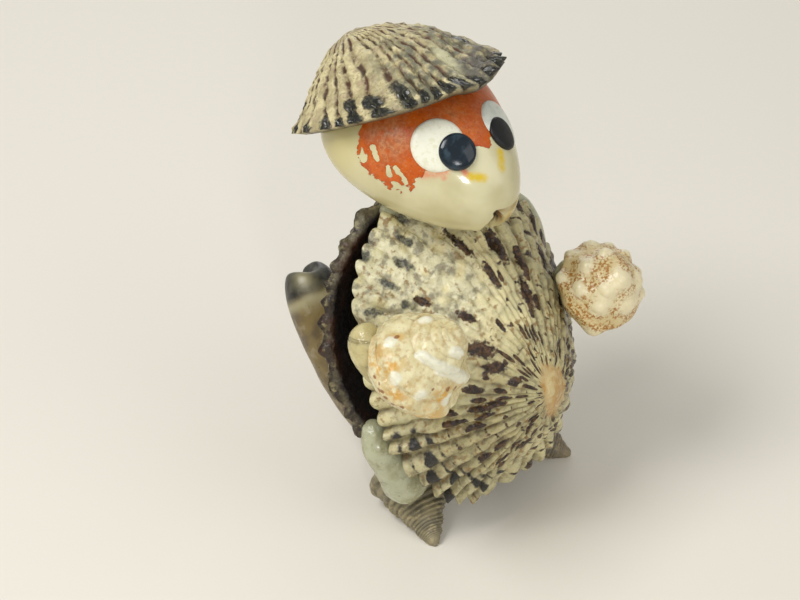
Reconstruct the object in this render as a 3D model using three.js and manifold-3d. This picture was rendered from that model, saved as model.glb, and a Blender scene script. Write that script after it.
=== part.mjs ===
// A squirrel figurine glued together from sea shells: two limpets make the body, a cowrie the head,
// a third limpet the hat, small knobbed shells the paws, top shells the feet and an olive shell the tail.
// Millimetres, +Z up, the face towards -Y and the right paw on -X. The figure stands on z = 0, with the
// middle of its bounding box over the origin.
import * as THREE from "three";
import { mergeVertices } from "three/addons/utils/BufferGeometryUtils.js";
import Module from "manifold-3d";

const wasm = await Module();
wasm.setup();

const DEG = Math.PI / 180;
const TURN = 2 * Math.PI;

// Driving dimensions

const glueLine = 0.3; // what is left between two pieces where they meet
const stickerLine = 0.15; // and under the stick-on eyes
const bodyLean = 25 * DEG; // the rims of the two body shells lean back by this much
const bodyLift = 5.6; // lowest point of the chest's rim above the table
const bodyAside = 0.5; // middle of the chest towards the left paw

// Limpets. apexAlong and apexAside place the apex from the middle of the rim. steep and full shape the slopes
// on the apex's near side and on the far side. square makes the outline fuller than an ellipse, which is 2.
// arch is how far the sides of the rim stand off the plane that its two ends lie in. ribReach is how far the
// ends of the ribs stand out past the rim, and ribStart is where round the rim their uneven spacing starts.
const chest = {
  length: 37.3, width: 29.8, height: 12.7, wall: 1.3, apexAlong: -6.5, apexAside: 0.6,
  square: 2.35, steep: 1.3, full: 2, arch: 0.3, ribs: 44, ribHeight: 0.8, ribReach: 0.7, ribStart: 1,
};
const back = {
  length: 37.2, width: 32.8, height: 13.2, wall: 1.4, apexAlong: -1.5, apexAside: 0,
  square: 2.15, steep: 1.1, full: 1.9, arch: 3.6, ribs: 36, ribHeight: 0.9, ribReach: 0.5, ribStart: 4,
};
const hat = {
  length: 25.9, width: 22.3, height: 8.9, wall: 1, apexAlong: -4.8, apexAside: 0,
  square: 2.05, steep: 1.38, full: 2.24, arch: 1, ribs: 34, ribHeight: 0.55, ribReach: 0.4, ribStart: 2,
};
const ribWander = 0.4; // how far a rib strays from even spacing, in ribs
// The chest's ribs are worn down on the shoulder over the right paw and raised beside the right foot.
const wornRibs = { middle: 140 * DEG, spread: 32 * DEG, strength: 0.45 };
const raisedRibs = { middle: 228 * DEG, spread: 42 * DEG, strength: 1.45 };
const rimGap = 0.7; // between the planes of the two body shells' rims
const backRaise = 1.3; // the back shell sits higher along the rims
const backTurn = 4.4 * DEG; // and is turned in the plane of its rim

// Cowrie. taper makes its back end broader than its face end; around and under are the roundness of its
// outline and of its base, where 1 is an ellipse.
const head = { length: 25.9, width: 19.5, crown: 8.75, base: 7.1, taper: 0.32, around: 0.93, under: 0.87 };
const headPitch = 14.4 * DEG; // nose down
const headMiddle = 5.8; // middle of the cowrie behind the middle of the body
const slit = { width: 1.8, depth: 3.2, sway: 0.9, teeth: 9, pitch: 1.9, toothWidth: 0.8, toothReach: 2.4 };
const mouthNotch = { width: 4.6, depth: 2.6, height: 5.2, below: 1.6 };

const hatTilt = 32.4 * DEG; // backwards
const hatRoll = -1.6 * DEG; // towards the right paw
const hatBehind = 5.2; // middle of the hat's rim behind the middle of the cowrie

// Eyes, and how far each disc is ahead of the cowrie's middle and to the side of it
const eye = { radius: 3, thick: 0.3 };
const pupil = { radius: 2.1, thick: 0.5 };
const rightEyeAt = { side: -1, eye: { ahead: 4.6, aside: 4.5 }, pupil: { ahead: 6.5, aside: 3.2 } };
const leftEyeAt = { side: 1, eye: { ahead: 5.6, aside: 4.4 }, pupil: { ahead: 6.9, aside: 3.3 } };

// Coiled shells. spire is the height over the widest part and base the depth under it; shrink is how much
// smaller each whorl is than the one below it.
const rightPaw = {
  radius: 6.1, spire: 5.6, base: 4.4, shrink: 0.5, taper: 0.6, swell: 0.13, start: 0.35, knobs: 8, knob: 0.5,
};
const leftPaw = {
  radius: 5.4, spire: 5.3, base: 4.4, shrink: 0.52, taper: 0.58, swell: 0.1, start: 0.1, knobs: 6, knob: 0.9,
};
const foot = {
  radius: 4.9, spire: 10.2, base: 2.6, shrink: 0.64, taper: 0.92, swell: 0.13, start: 0.2, knobs: 0, knob: 0,
};
const rightPawAt = { aside: -14, along: 4, ahead: 9.6 }; // from the middle of the chest's rim
const leftPawAt = { aside: 12.4, along: 1.5, ahead: 10.6 };
const pawSpireUp = 25 * DEG; // the spires point forwards and up from the chest's own axis
// Middle of each foot's widest part, and how far the toes turn outwards
const rightFootAt = { aside: 7.4, behind: 0.6, splay: 20 * DEG };
const leftFootAt = { aside: 8.2, behind: 0.4, splay: 33 * DEG };
const worn = 0.3; // depth worn flat where a shell rests on the table

// Olive shell
const tail = { length: 29.7, radius: 4.6, flatten: 0.92, slitWidth: 1.6, slitDepth: 1.6, notch: 1.7 };
const tailLean = 39.6 * DEG; // backwards
const tailRoll = -3 * DEG; // towards the right paw
const tailAside = -3.5; // its foot
const tailGap = 3; // between it and the back shell, for the glue

// Glue. The seam between the body shells is filled on the left side from one angle round the rim to
// another, and reaches inwards and outwards of it. The other beads are drawn out between two points: a
// foot's from beside its cone to beside the back shell's rim, the tail's along the side of the tail that
// faces the body.
const seamGlue = { from: 5 * DEG, to: 44 * DEG, inside: 1.8, outside: 1.9 };
const neckGlue = { aside: 6.4, radius: 2.3 };
const hatGlue = { across: 6, along: 6.5, high: 4.5 };
const pawGlueInset = 0.3; // inside the paw's own radius
const footGlue = { beside: 1.3, above: 2.1, ahead: 2.7, rimShare: 0.93, rimAngle: 28 * DEG, radius: 3.5 };
const tailGlue = { from: 8.8, to: 16.4, outside: 0.6, radius: 3.6 };

// Coarseness of the facets
const ribSides = 4; // facets across one rib
const outerShares = [0.07, 0.3, 0.65, 1]; // rings of a limpet, from its apex to its rim
const innerShares = [1, 0.55];
const pawSides = 24;
const pawRings = 12;
const footSides = 20;
const footRings = 12;
const headSides = 28;
const headRings = 16;

const materials = {
  chest: new THREE.MeshStandardMaterial({ color: 0xcfc6a2, roughness: 0.5, metalness: 0 }),
  back: new THREE.MeshStandardMaterial({ color: 0x5a4c3c, roughness: 0.7, metalness: 0 }),
  hat: new THREE.MeshStandardMaterial({ color: 0xa89c7c, roughness: 0.6, metalness: 0 }),
  cowrie: new THREE.MeshStandardMaterial({ color: 0xe8ddc4, roughness: 0.15, metalness: 0 }),
  eyeWhite: new THREE.MeshStandardMaterial({ color: 0xe9e8d2, roughness: 0.45, metalness: 0 }),
  pupilBlack: new THREE.MeshStandardMaterial({ color: 0x121417, roughness: 0.15, metalness: 0 }),
  paw: new THREE.MeshStandardMaterial({ color: 0xe2d2a6, roughness: 0.35, metalness: 0 }),
  foot: new THREE.MeshStandardMaterial({ color: 0x7d765f, roughness: 0.6, metalness: 0 }),
  tail: new THREE.MeshStandardMaterial({ color: 0x6b5a40, roughness: 0.3, metalness: 0 }),
  glue: new THREE.MeshStandardMaterial({ color: 0xb9baa0, roughness: 0.25, metalness: 0 }),
};

// Solids from rings of points

const { lerp, smoothstep } = THREE.MathUtils;

const anglesRound = (sides) => Array.from({ length: sides }, (_, side) => (side / sides) * TURN);

// Skins the rings and closes both ends on a pole, with the faces turned outwards.
function skin(firstPole, rings, lastPole) {
  const sides = rings[0].length;
  const points = [firstPole, ...rings.flat(), lastPole];
  const faces = [];
  const at = (ring, side) => 1 + ring * sides + (side % sides);
  for (let side = 0; side < sides; side++) {
    faces.push(0, at(0, side + 1), at(0, side));
    for (let ring = 0; ring + 1 < rings.length; ring++) {
      faces.push(at(ring, side), at(ring, side + 1), at(ring + 1, side));
      faces.push(at(ring, side + 1), at(ring + 1, side + 1), at(ring + 1, side));
    }
    faces.push(at(rings.length - 1, side), at(rings.length - 1, side + 1), points.length - 1);
  }
  let volume = 0;
  for (let f = 0; f < faces.length; f += 3) {
    const [a, b, c] = [points[faces[f]], points[faces[f + 1]], points[faces[f + 2]]];
    volume += a.dot(b.clone().cross(c));
  }
  if (volume < 0) faces.reverse();
  const geometry = new THREE.BufferGeometry().setFromPoints(points);
  geometry.setIndex(faces);
  return geometry;
}

// Solids for cutting and joining

function solid(geometry, matrix) {
  const plain = geometry.clone();
  plain.deleteAttribute("normal");
  plain.deleteAttribute("uv");
  if (matrix) plain.applyMatrix4(matrix);
  const merged = mergeVertices(plain, 1e-4);
  return new wasm.Manifold(
    new wasm.Mesh({
      numProp: 3,
      vertProperties: merged.attributes.position.array,
      triVerts: new Uint32Array(merged.index.array),
    }),
  );
}

function geometryOf(made) {
  const { vertProperties, triVerts } = made.getMesh();
  const geometry = new THREE.BufferGeometry();
  geometry.setAttribute("position", new THREE.BufferAttribute(new Float32Array(vertProperties), 3));
  geometry.setIndex(new THREE.BufferAttribute(new Uint32Array(triVerts), 1));
  return geometry;
}

function ellipsoid(middle, radii, turn = [0, 0, 0], sides = 16) {
  const ball = new THREE.SphereGeometry(1, sides, sides / 2 + 1);
  const matrix = new THREE.Matrix4().compose(
    new THREE.Vector3(...middle),
    new THREE.Quaternion().setFromEuler(new THREE.Euler(...turn)),
    new THREE.Vector3(...radii),
  );
  return solid(ball, matrix);
}

// Limpet: its rim round the local origin, its apex up the local +Z, its ends along Y

function limpetPoint(shell, share, angle, grow, height = shell.height + grow) {
  const [cos, sin] = [Math.cos(angle), Math.sin(angle)];
  const corner = (Math.abs(cos) ** shell.square + Math.abs(sin) ** shell.square) ** (-1 / shell.square);
  const rimX = (shell.width / 2 + grow) * cos * corner;
  const rimY = (shell.length / 2 + grow) * sin * corner;
  const slope = lerp(shell.steep, shell.full, (1 + sin) / 2);
  return new THREE.Vector3(
    lerp(shell.apexAside, rimX, share),
    lerp(shell.apexAlong, rimY, share),
    height * (1 - share ** slope) + shell.arch * (cos * share) ** 2,
  );
}

function limpetNormal(shell, share, angle) {
  const step = 1e-3;
  const here = limpetPoint(shell, share, angle, 0);
  const round = limpetPoint(shell, share, angle + step, 0).sub(here);
  const down = limpetPoint(shell, share + step, angle, 0).sub(here);
  return down.cross(round).normalize();
}

const strayed = (shell, angle) =>
  ribWander * (Math.sin(3 * angle + shell.ribStart) + 0.7 * Math.sin(7 * angle + 2 * shell.ribStart));

// The directions of the facets: each rib has the same number of them, however far it strays.
function ribAngles(shell) {
  return Array.from({ length: shell.ribs * ribSides }, (_, side) => {
    let angle = 0;
    for (let again = 0; again < 30; again++) {
      angle = (side / ribSides - strayed(shell, angle)) * (TURN / shell.ribs);
    }
    return angle;
  });
}

// 1 in the middle of a part of the rim, and 0 from its spread on.
function within(part, angle) {
  const away = Math.abs(THREE.MathUtils.euclideanModulo(angle - part.middle + Math.PI, TURN) - Math.PI);
  return 1 - smoothstep(away, part.spread / 2, part.spread);
}

// Rounded ribs with sharp furrows, each a little higher or lower than the next.
function ribCrest(shell, angle) {
  const count = (angle / TURN) * shell.ribs + strayed(shell, angle);
  const rib = THREE.MathUtils.euclideanModulo(Math.round(count), shell.ribs);
  const unevenness = 0.8 + 0.2 * Math.sin(rib * 2.4) * Math.cos(rib * 1.3);
  return unevenness * Math.abs(Math.cos(Math.PI * count)) ** 0.8;
}

function ribStrength(shell, angle) {
  if (shell !== chest) return 1;
  const parts = [wornRibs, raisedRibs];
  return parts.reduce((product, part) => product * lerp(1, part.strength, within(part, angle)), 1);
}

// Straight outwards from the rim, level with it.
const rimwards = (shell, angle) =>
  limpetPoint(shell, 1, angle, 1, 0).sub(limpetPoint(shell, 1, angle, 0, 0)).setZ(0).normalize();

function limpet(shell) {
  const angles = ribAngles(shell);
  const outer = outerShares.map((share) =>
    angles.map((angle) => {
      const crest = ribCrest(shell, angle);
      return limpetPoint(shell, share, angle, 0)
        .addScaledVector(
          limpetNormal(shell, share, angle),
          shell.ribHeight * ribStrength(shell, angle) * crest * share ** 0.8,
        )
        .addScaledVector(rimwards(shell, angle), shell.ribReach * crest * smoothstep(share, 0.8, 1));
    }),
  );
  const inner = innerShares.map((share) =>
    angles.map((angle) => limpetPoint(shell, share, angle, -shell.wall)),
  );
  return skin(limpetPoint(shell, 0, 0, 0), [...outer, ...inner], limpetPoint(shell, 0, 0, -shell.wall));
}

// All the room under a limpet's surface, which is moved out or in by a clearance, down to a sheet across
// its rim.
function limpetRoom(shell, grow, clearance) {
  const reach = clearance > 0 ? shell.ribReach : 0;
  const angles = anglesRound(36);
  const shares = grow < 0 ? innerShares.toReversed() : outerShares;
  const surface = shares.map((share) =>
    angles.map((angle) =>
      limpetPoint(shell, share, angle, grow)
        .addScaledVector(limpetNormal(shell, share, angle), clearance)
        .addScaledVector(rimwards(shell, angle), reach * smoothstep(share, 0.8, 1)),
    ),
  );
  const under = -Math.sign(clearance) * glueLine;
  const sheet = [1, 0.5].map((share) =>
    surface.at(-1).map((rim, index) => new THREE.Vector3(
      lerp(shell.apexAside, rim.x, share),
      lerp(shell.apexAlong, rim.y, share),
      under + shell.arch * (Math.cos(angles[index]) * share) ** 2,
    )),
  );
  const apex = limpetPoint(shell, 0, 0, grow + clearance);
  return skin(apex, [...surface, ...sheet], new THREE.Vector3(shell.apexAside, shell.apexAlong, under));
}

const limpetCutter = (shell) => {
  const strength = shell === chest ? raisedRibs.strength : 1;
  return limpetRoom(shell, 0, shell.ribHeight * strength + glueLine);
};
const limpetHollow = (shell) => limpetRoom(shell, -shell.wall, -glueLine);

// Cowrie: the face is at -Y, the crown up and the slit underneath

function cowriePoint(along, angle, grow) {
  const around = Math.sqrt(1 - along * along);
  const up = Math.sin(angle);
  const high = up > 0
    ? (head.crown + grow) * around ** head.around * up
    : -(head.base + grow) * (around * -up) ** head.under;
  return new THREE.Vector3(
    (head.width / 2 + grow) * around ** head.around * Math.cos(angle) * (1 + head.taper * along),
    (head.length / 2 + grow) * along,
    high * (1 + (head.taper * along) / 2),
  );
}

function cowrie(grow, rings, sides) {
  const middles = [];
  for (let ring = 1; ring < rings; ring++) {
    const along = -Math.cos((ring / rings) * Math.PI);
    middles.push(anglesRound(sides).map((angle) => cowriePoint(along, angle, grow)));
  }
  const end = head.length / 2 + grow;
  return skin(new THREE.Vector3(0, -end, 0), middles, new THREE.Vector3(0, end, 0));
}

// The slit follows a slow S along the base and turns up at both ends.
const slitReach = head.length / 2 + 1;
const slitMiddle = (along) => slit.sway * Math.sin((along / slitReach) * 2.4);
const baseHeight = (along) =>
  cowriePoint(Math.min(0.999, Math.abs(along) / (head.length / 2)), -TURN / 4, 0).z;

function headSolid() {
  const path = new THREE.CatmullRomCurve3(
    [-1, -0.85, -0.5, 0, 0.5, 0.85, 1].map((share) => {
      const along = share * slitReach;
      return new THREE.Vector3(slitMiddle(along), along, baseHeight(along));
    }),
  );
  const opening = new THREE.Shape().absellipse(0, 0, slit.depth, slit.width / 2, 0, TURN);
  const channel = new THREE.ExtrudeGeometry(opening, { extrudePath: path, steps: 20, curveSegments: 3 });
  let made = solid(cowrie(0, headRings, headSides)).subtract(solid(channel));
  for (let tooth = 0; tooth < slit.teeth; tooth++) {
    const along = (tooth - (slit.teeth - 1) / 2) * slit.pitch;
    const half = slit.toothWidth / 2;
    const groove = new THREE.CylinderGeometry(half, half, 2 * slit.toothReach, 6);
    groove.rotateZ(90 * DEG);
    groove.translate(slitMiddle(along), along, baseHeight(along));
    made = made.subtract(solid(groove));
  }
  const notch = ellipsoid(
    [slitMiddle(-slitReach), -head.length / 2, -mouthNotch.below],
    [mouthNotch.width / 2, mouthNotch.depth, mouthNotch.height / 2],
  );
  return made.subtract(notch);
}

// A disc that follows the cowrie's crown: the part of a skin over it that a round punch takes out.
function crownDisc(disc, side, at, low) {
  const along = -at.ahead / (head.length / 2);
  const width = (head.width / 2) * Math.sqrt(1 - along * along) ** head.around * (1 + head.taper * along);
  const angle = Math.acos((side * at.aside) / width);
  const middle = cowriePoint(along, angle, 0);
  const round = cowriePoint(along, angle + 1e-3, 0).sub(middle);
  const lengthwise = cowriePoint(along + 1e-3, angle, 0).sub(middle);
  const normal = lengthwise.cross(round).normalize();
  const punch = new THREE.CylinderGeometry(disc.radius, disc.radius, 8, 24);
  const matrix = new THREE.Matrix4().compose(
    middle,
    new THREE.Quaternion().setFromUnitVectors(new THREE.Vector3(0, 1, 0), normal),
    new THREE.Vector3(1, 1, 1),
  );
  const [top, bottom] = [low + disc.thick, low].map((height) => solid(cowrie(height, headRings, headSides)));
  return geometryOf(top.subtract(bottom).intersect(solid(punch, matrix)));
}

// Coiled shells: the spire points up the local +Z

function coiled(shell, grow, spireRings, baseRings, sides) {
  const spirePoint = (share, angle) => {
    const coil = Math.log(share) / Math.log(shell.shrink) - angle / TURN + shell.start;
    const phase = coil - Math.floor(coil);
    const fade = 1 - smoothstep(share, 0.84, 1);
    const swell = shell.swell * (Math.sin(Math.PI * phase) ** 0.6 - 0.75) * fade;
    const bump = Math.max(0, Math.cos(shell.knobs * angle)) * Math.exp(-(((phase - 0.45) / 0.22) ** 2));
    const radius = (shell.radius + grow) * share ** shell.taper * (1 + swell) + shell.knob * bump * share;
    return new THREE.Vector3(
      radius * Math.cos(angle),
      radius * Math.sin(angle),
      (shell.spire + grow) * (1 - share) + shell.knob * bump * (1 - share),
    );
  };
  const basePoint = (share, angle) => {
    const radius = (shell.radius + grow) * Math.cos((share * Math.PI) / 2);
    const depth = (shell.base + grow) * Math.sin((share * Math.PI) / 2);
    return new THREE.Vector3(radius * Math.cos(angle), radius * Math.sin(angle), -depth);
  };
  const rings = [];
  for (let ring = 1; ring <= spireRings; ring++) {
    rings.push(anglesRound(sides).map((angle) => spirePoint((ring / spireRings) ** 1.25, angle)));
  }
  for (let ring = 1; ring < baseRings; ring++) {
    rings.push(anglesRound(sides).map((angle) => basePoint(ring / baseRings, angle)));
  }
  const tip = new THREE.Vector3(0, 0, shell.spire + grow);
  const under = new THREE.Vector3(0, 0, -shell.base - grow);
  return skin(tip, rings, under);
}

// The shell's own mouth is a dish in its base, beside the pillar.
function coiledSolid(shell, spireRings, sides) {
  const mouth = ellipsoid(
    [shell.radius * 0.45, 0, -shell.base],
    [shell.radius * 0.4, shell.radius * 0.3, shell.base * 0.5],
    [0, 0, 0],
    12,
  );
  return solid(coiled(shell, 0, spireRings, 5, sides)).subtract(mouth);
}

const coiledCutter = (shell) => coiled(shell, shell.knob + 1.5 * glueLine, 6, 4, 18);

// Olive shell: its spire is at the foot, the siphon notch at the top and the slit up its back

function olive(grow, sides) {
  const radius = tail.radius + grow;
  const length = tail.length + 2 * grow;
  const outline = new THREE.SplineCurve(
    [
      [0, 0], [0.3, 0.05], [0.66, 0.17], [0.97, 0.4], [0.98, 0.64], [0.82, 0.85], [0.5, 0.965], [0, 1],
    ].map(([out, along]) => new THREE.Vector2(out * radius, along * length - grow)),
  );
  const profile = outline.getPoints(14);
  profile[0].x = 0;
  profile[14].x = 0;
  return new THREE.LatheGeometry(profile, sides).rotateX(90 * DEG).scale(1, tail.flatten, 1);
}

function tailSolid() {
  const depth = tail.radius * tail.flatten;
  const channel = ellipsoid(
    [0.15 * tail.radius, depth, tail.length * 0.6],
    [tail.slitWidth / 2, tail.slitDepth, tail.length * 0.4],
    [0, 6 * DEG, 0],
  );
  const notch = ellipsoid([0, depth * 0.5, tail.length], [tail.notch, depth * 0.9, tail.notch * 1.1]);
  return solid(olive(0, 24)).subtract(channel).subtract(notch);
}

// Assembly

const figure = new THREE.Group();

function add(name, geometry, material, parent = figure) {
  const mesh = new THREE.Mesh(geometry, material);
  mesh.name = name;
  parent.add(mesh);
  return mesh;
}

function worldSolid(mesh, geometry = mesh.geometry) {
  figure.updateMatrixWorld(true);
  return solid(geometry, mesh.matrixWorld);
}

// Moves a piece along a direction until it is clear of what it seats against, and a gap more. The piece is
// inside it after the first distance or stays where that brings it, and is clear of it after the second.
function seat(mesh, against, direction, from, to, gap = glueLine) {
  const moving = worldSolid(mesh);
  const inside = (shift) => {
    const step = direction.clone().multiplyScalar(shift).toArray();
    return moving.translate(step).intersect(against).volume() > 1e-6;
  };
  while (to - from > 0.01) {
    const middle = (from + to) / 2;
    if (inside(middle)) from = middle;
    else to = middle;
  }
  mesh.position.addScaledVector(direction, to + gap);
}

const tableTop = (height) => new THREE.BoxGeometry(60, 60, 10).translate(0, 0, height - 5);

// What rests on the table is worn flat there.
function wear(mesh) {
  figure.updateMatrixWorld(true);
  const table = solid(tableTop(0), mesh.matrixWorld.clone().invert());
  mesh.geometry = geometryOf(solid(mesh.geometry).subtract(table));
}

// The neighbours are cut out of a drop of glue, and the largest part of what is left stays.
function addGlue(name, shape, ...neighbours) {
  let made = shape;
  for (const neighbour of neighbours) made = made.subtract(neighbour);
  const largest = made.decompose().reduce((best, part) => (part.volume() > best.volume() ? part : best));
  add(name, geometryOf(largest), materials.glue);
}

// A drop of glue drawn out from one point to another.
function bead(from, to, radius) {
  const along = to.clone().sub(from);
  const matrix = new THREE.Matrix4().compose(
    from.clone().lerp(to, 0.5),
    new THREE.Quaternion().setFromUnitVectors(new THREE.Vector3(0, 0, 1), along.clone().normalize()),
    new THREE.Vector3(radius, radius, along.length() / 2 + radius / 2),
  );
  return solid(new THREE.SphereGeometry(1, 12, 8).rotateX(90 * DEG), matrix);
}

// The two body shells stand rim to rim in one leaning frame: x across, y up the rims and z forwards.
const body = new THREE.Group();
body.rotation.x = 90 * DEG - bodyLean;
body.position.set(bodyAside, 0, bodyLift + (chest.length / 2) * Math.cos(bodyLean));
figure.add(body);

const chestShell = add("chest_shell", limpet(chest), materials.chest, body);
const backShell = add("back_shell", limpet(back), materials.back, body);
backShell.position.set(0, backRaise, -rimGap);
backShell.rotation.set(0, 180 * DEG, -backTurn);
const bodySolid = worldSolid(chestShell).add(worldSolid(backShell));
const chestRoom = worldSolid(chestShell, limpetCutter(chest));
const backRoom = worldSolid(backShell, limpetCutter(back));

const forwards = new THREE.Vector3(0, -Math.cos(bodyLean), Math.sin(bodyLean));
const inBody = (x, y, z) => body.localToWorld(new THREE.Vector3(x, y, z));
const neck = inBody(0, chest.length / 2, 0);

// The cowrie is lowered onto the top of the rims.
const headShell = add("head_shell", geometryOf(headSolid()), materials.cowrie);
headShell.rotation.x = headPitch;
headShell.position.set(0, headMiddle, neck.z + head.base);
seat(headShell, bodySolid, new THREE.Vector3(0, 0, 1), -3, 5);
const headRoom = worldSolid(headShell, cowrie(glueLine, headRings, headSides));

const neckSide = new THREE.Vector3(neckGlue.aside, 0, 0);
const neckBead = bead(neck.clone().sub(neckSide), neck.clone().add(neckSide), neckGlue.radius);
addGlue("neck_glue", neckBead, headRoom, chestRoom, backRoom);

// The hat is lowered along its own axis onto the crown.
const hatShell = add("hat_shell", limpet(hat), materials.hat);
hatShell.rotation.set(-hatTilt, hatRoll, 180 * DEG);
const hatAxis = new THREE.Vector3(0, 0, 1).applyEuler(hatShell.rotation);
hatShell.position.copy(headShell.position).add(new THREE.Vector3(0, hatBehind, 3.5));
seat(hatShell, worldSolid(headShell), hatAxis, -4, 6);

const hatHollow = worldSolid(hatShell, limpetHollow(hat));
const underApex = hatShell.localToWorld(new THREE.Vector3(0, hat.apexAlong / 2, hat.height * 0.6));
const hatDropSize = [hatGlue.across, hatGlue.along, hatGlue.high];
const hatDrop = ellipsoid(underApex.toArray(), hatDropSize, [-hatTilt, 0, 0]);
addGlue("hat_glue", hatDrop.intersect(hatHollow), headRoom);

// Eyes on the crown, a white disc and a black one over its front edge
for (const [sideName, at] of [["right", rightEyeAt], ["left", leftEyeAt]]) {
  const white = crownDisc(eye, at.side, at.eye, stickerLine);
  const black = crownDisc(pupil, at.side, at.pupil, 2 * stickerLine + eye.thick);
  for (const disc of [
    add(`${sideName}_eye_white`, white, materials.eyeWhite),
    add(`${sideName}_pupil`, black, materials.pupilBlack),
  ]) {
    disc.rotation.copy(headShell.rotation);
    disc.position.copy(headShell.position);
  }
}

// Paws: each shell's base is against the slope of the chest, on a drop of glue.
for (const [sideName, shell, at] of [["right", rightPaw, rightPawAt], ["left", leftPaw, leftPawAt]]) {
  const paw = add(`${sideName}_paw_shell`, geometryOf(coiledSolid(shell, pawRings, pawSides)), materials.paw);
  const spire = forwards.clone().applyAxisAngle(new THREE.Vector3(1, 0, 0), -pawSpireUp);
  paw.quaternion.setFromUnitVectors(new THREE.Vector3(0, 0, 1), spire);
  paw.position.copy(inBody(at.aside, at.along, at.ahead));
  const outwards = inBody(at.aside, 0, at.ahead).sub(inBody(0, 0, 0)).normalize();
  seat(paw, bodySolid, outwards, -4, 6);

  const spread = shell.radius - pawGlueInset;
  const drop = new THREE.SphereGeometry(1, 16, 9).rotateX(90 * DEG).scale(spread, spread, shell.base);
  drop.translate(0, 0, -shell.base * 0.8);
  const pawRoom = worldSolid(paw, coiledCutter(shell));
  addGlue(`${sideName}_paw_glue`, worldSolid(paw, drop), pawRoom, chestRoom, backRoom);
}

// Feet: each cone lies along its own slope under the back shell, toes forwards and outwards.
const footSlope = Math.atan(foot.radius / foot.spire);
for (const [sideName, side, at] of [["right", -1, rightFootAt], ["left", 1, leftFootAt]]) {
  const cone = geometryOf(coiledSolid(foot, footRings, footSides));
  const shell = add(`${sideName}_foot_shell`, cone, materials.foot);
  const toes = new THREE.Vector3(
    side * Math.sin(at.splay) * Math.cos(footSlope),
    -Math.cos(at.splay) * Math.cos(footSlope),
    -Math.sin(footSlope),
  );
  shell.quaternion.setFromUnitVectors(new THREE.Vector3(0, 0, 1), toes);
  shell.position.set(side * at.aside, at.behind, foot.radius * Math.cos(footSlope) - worn);
  seat(shell, bodySolid, new THREE.Vector3(side, 0, 0), 0, 6);
  wear(shell);

  const besideFoot = new THREE.Vector3(side * footGlue.beside, -footGlue.ahead, footGlue.above);
  const low = shell.position.clone().add(besideFoot);
  const rimAngle = side < 0 ? -footGlue.rimAngle : Math.PI + footGlue.rimAngle;
  const high = backShell.localToWorld(limpetPoint(back, footGlue.rimShare, rimAngle, 0));
  const footRoom = worldSolid(shell, coiledCutter(foot));
  addGlue(`${sideName}_foot_glue`, bead(low, high, footGlue.radius), footRoom, chestRoom, backRoom);
}

// The tail leans back from the table, close behind the back shell.
const tailShell = add("tail_shell", geometryOf(tailSolid()), materials.tail);
tailShell.rotation.set(-tailLean, tailRoll, 0);
tailShell.position.set(tailAside, 0, 0);
tailShell.position.z = -new THREE.Box3().setFromObject(tailShell, true).min.z - worn;
seat(tailShell, bodySolid, new THREE.Vector3(0, 1, 0), 0, 20, tailGap);
wear(tailShell);

const tailRoom = worldSolid(tailShell, olive(glueLine, 20));
const [tailGlueLow, tailGlueHigh] = [tailGlue.from, tailGlue.to].map((along) =>
  tailShell.localToWorld(new THREE.Vector3(0, -tail.radius * tail.flatten - tailGlue.outside, along)),
);
addGlue("tail_glue", bead(tailGlueLow, tailGlueHigh, tailGlue.radius), tailRoom, backRoom);

// The filled seam is a strip between the two rims of the body, thin at the top where they close up.
function seamStrip() {
  const steps = 12;
  const rings = [];
  for (let step = 0; step <= steps; step++) {
    const angle = lerp(seamGlue.from, seamGlue.to, step / steps);
    const swell = Math.sin(lerp(0.1, 0.94, step / steps) * Math.PI) ** 0.5;
    const top = chest.arch * Math.cos(angle) ** 2 - glueLine;
    const bottom = -rimGap - back.arch * Math.cos(angle) ** 2 + glueLine;
    const rim = limpetPoint(chest, 1, angle, 0, 0);
    const outwards = rimwards(chest, angle);
    rings.push(
      anglesRound(10).map((turn) => {
        const out = swell * lerp(-seamGlue.inside, seamGlue.outside, (1 + Math.cos(turn)) / 2);
        const height = lerp(bottom, top, (1 + swell * Math.sin(turn)) / 2);
        return rim.clone().addScaledVector(outwards, out).setZ(height);
      }),
    );
  }
  const middleOf = (ring) =>
    ring.reduce((sum, point) => sum.add(point), new THREE.Vector3()).divideScalar(ring.length);
  return skin(middleOf(rings[0]), rings, middleOf(rings[steps]));
}
add("seam_glue", seamStrip(), materials.glue, body);

const middle = new THREE.Box3().setFromObject(figure, true).getCenter(new THREE.Vector3());
figure.position.set(-middle.x, -middle.y, 0);

export default figure;
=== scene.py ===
"""Looks of a souvenir squirrel that is glued together from whole sea shells.

Each piece is a closed surface of rings, shaped and marked in its own frame in millimetres, and is
moved to its place and into metres last. The marks are numbers at the points that the paints read."""

import math
from types import SimpleNamespace as Sizes

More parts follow.
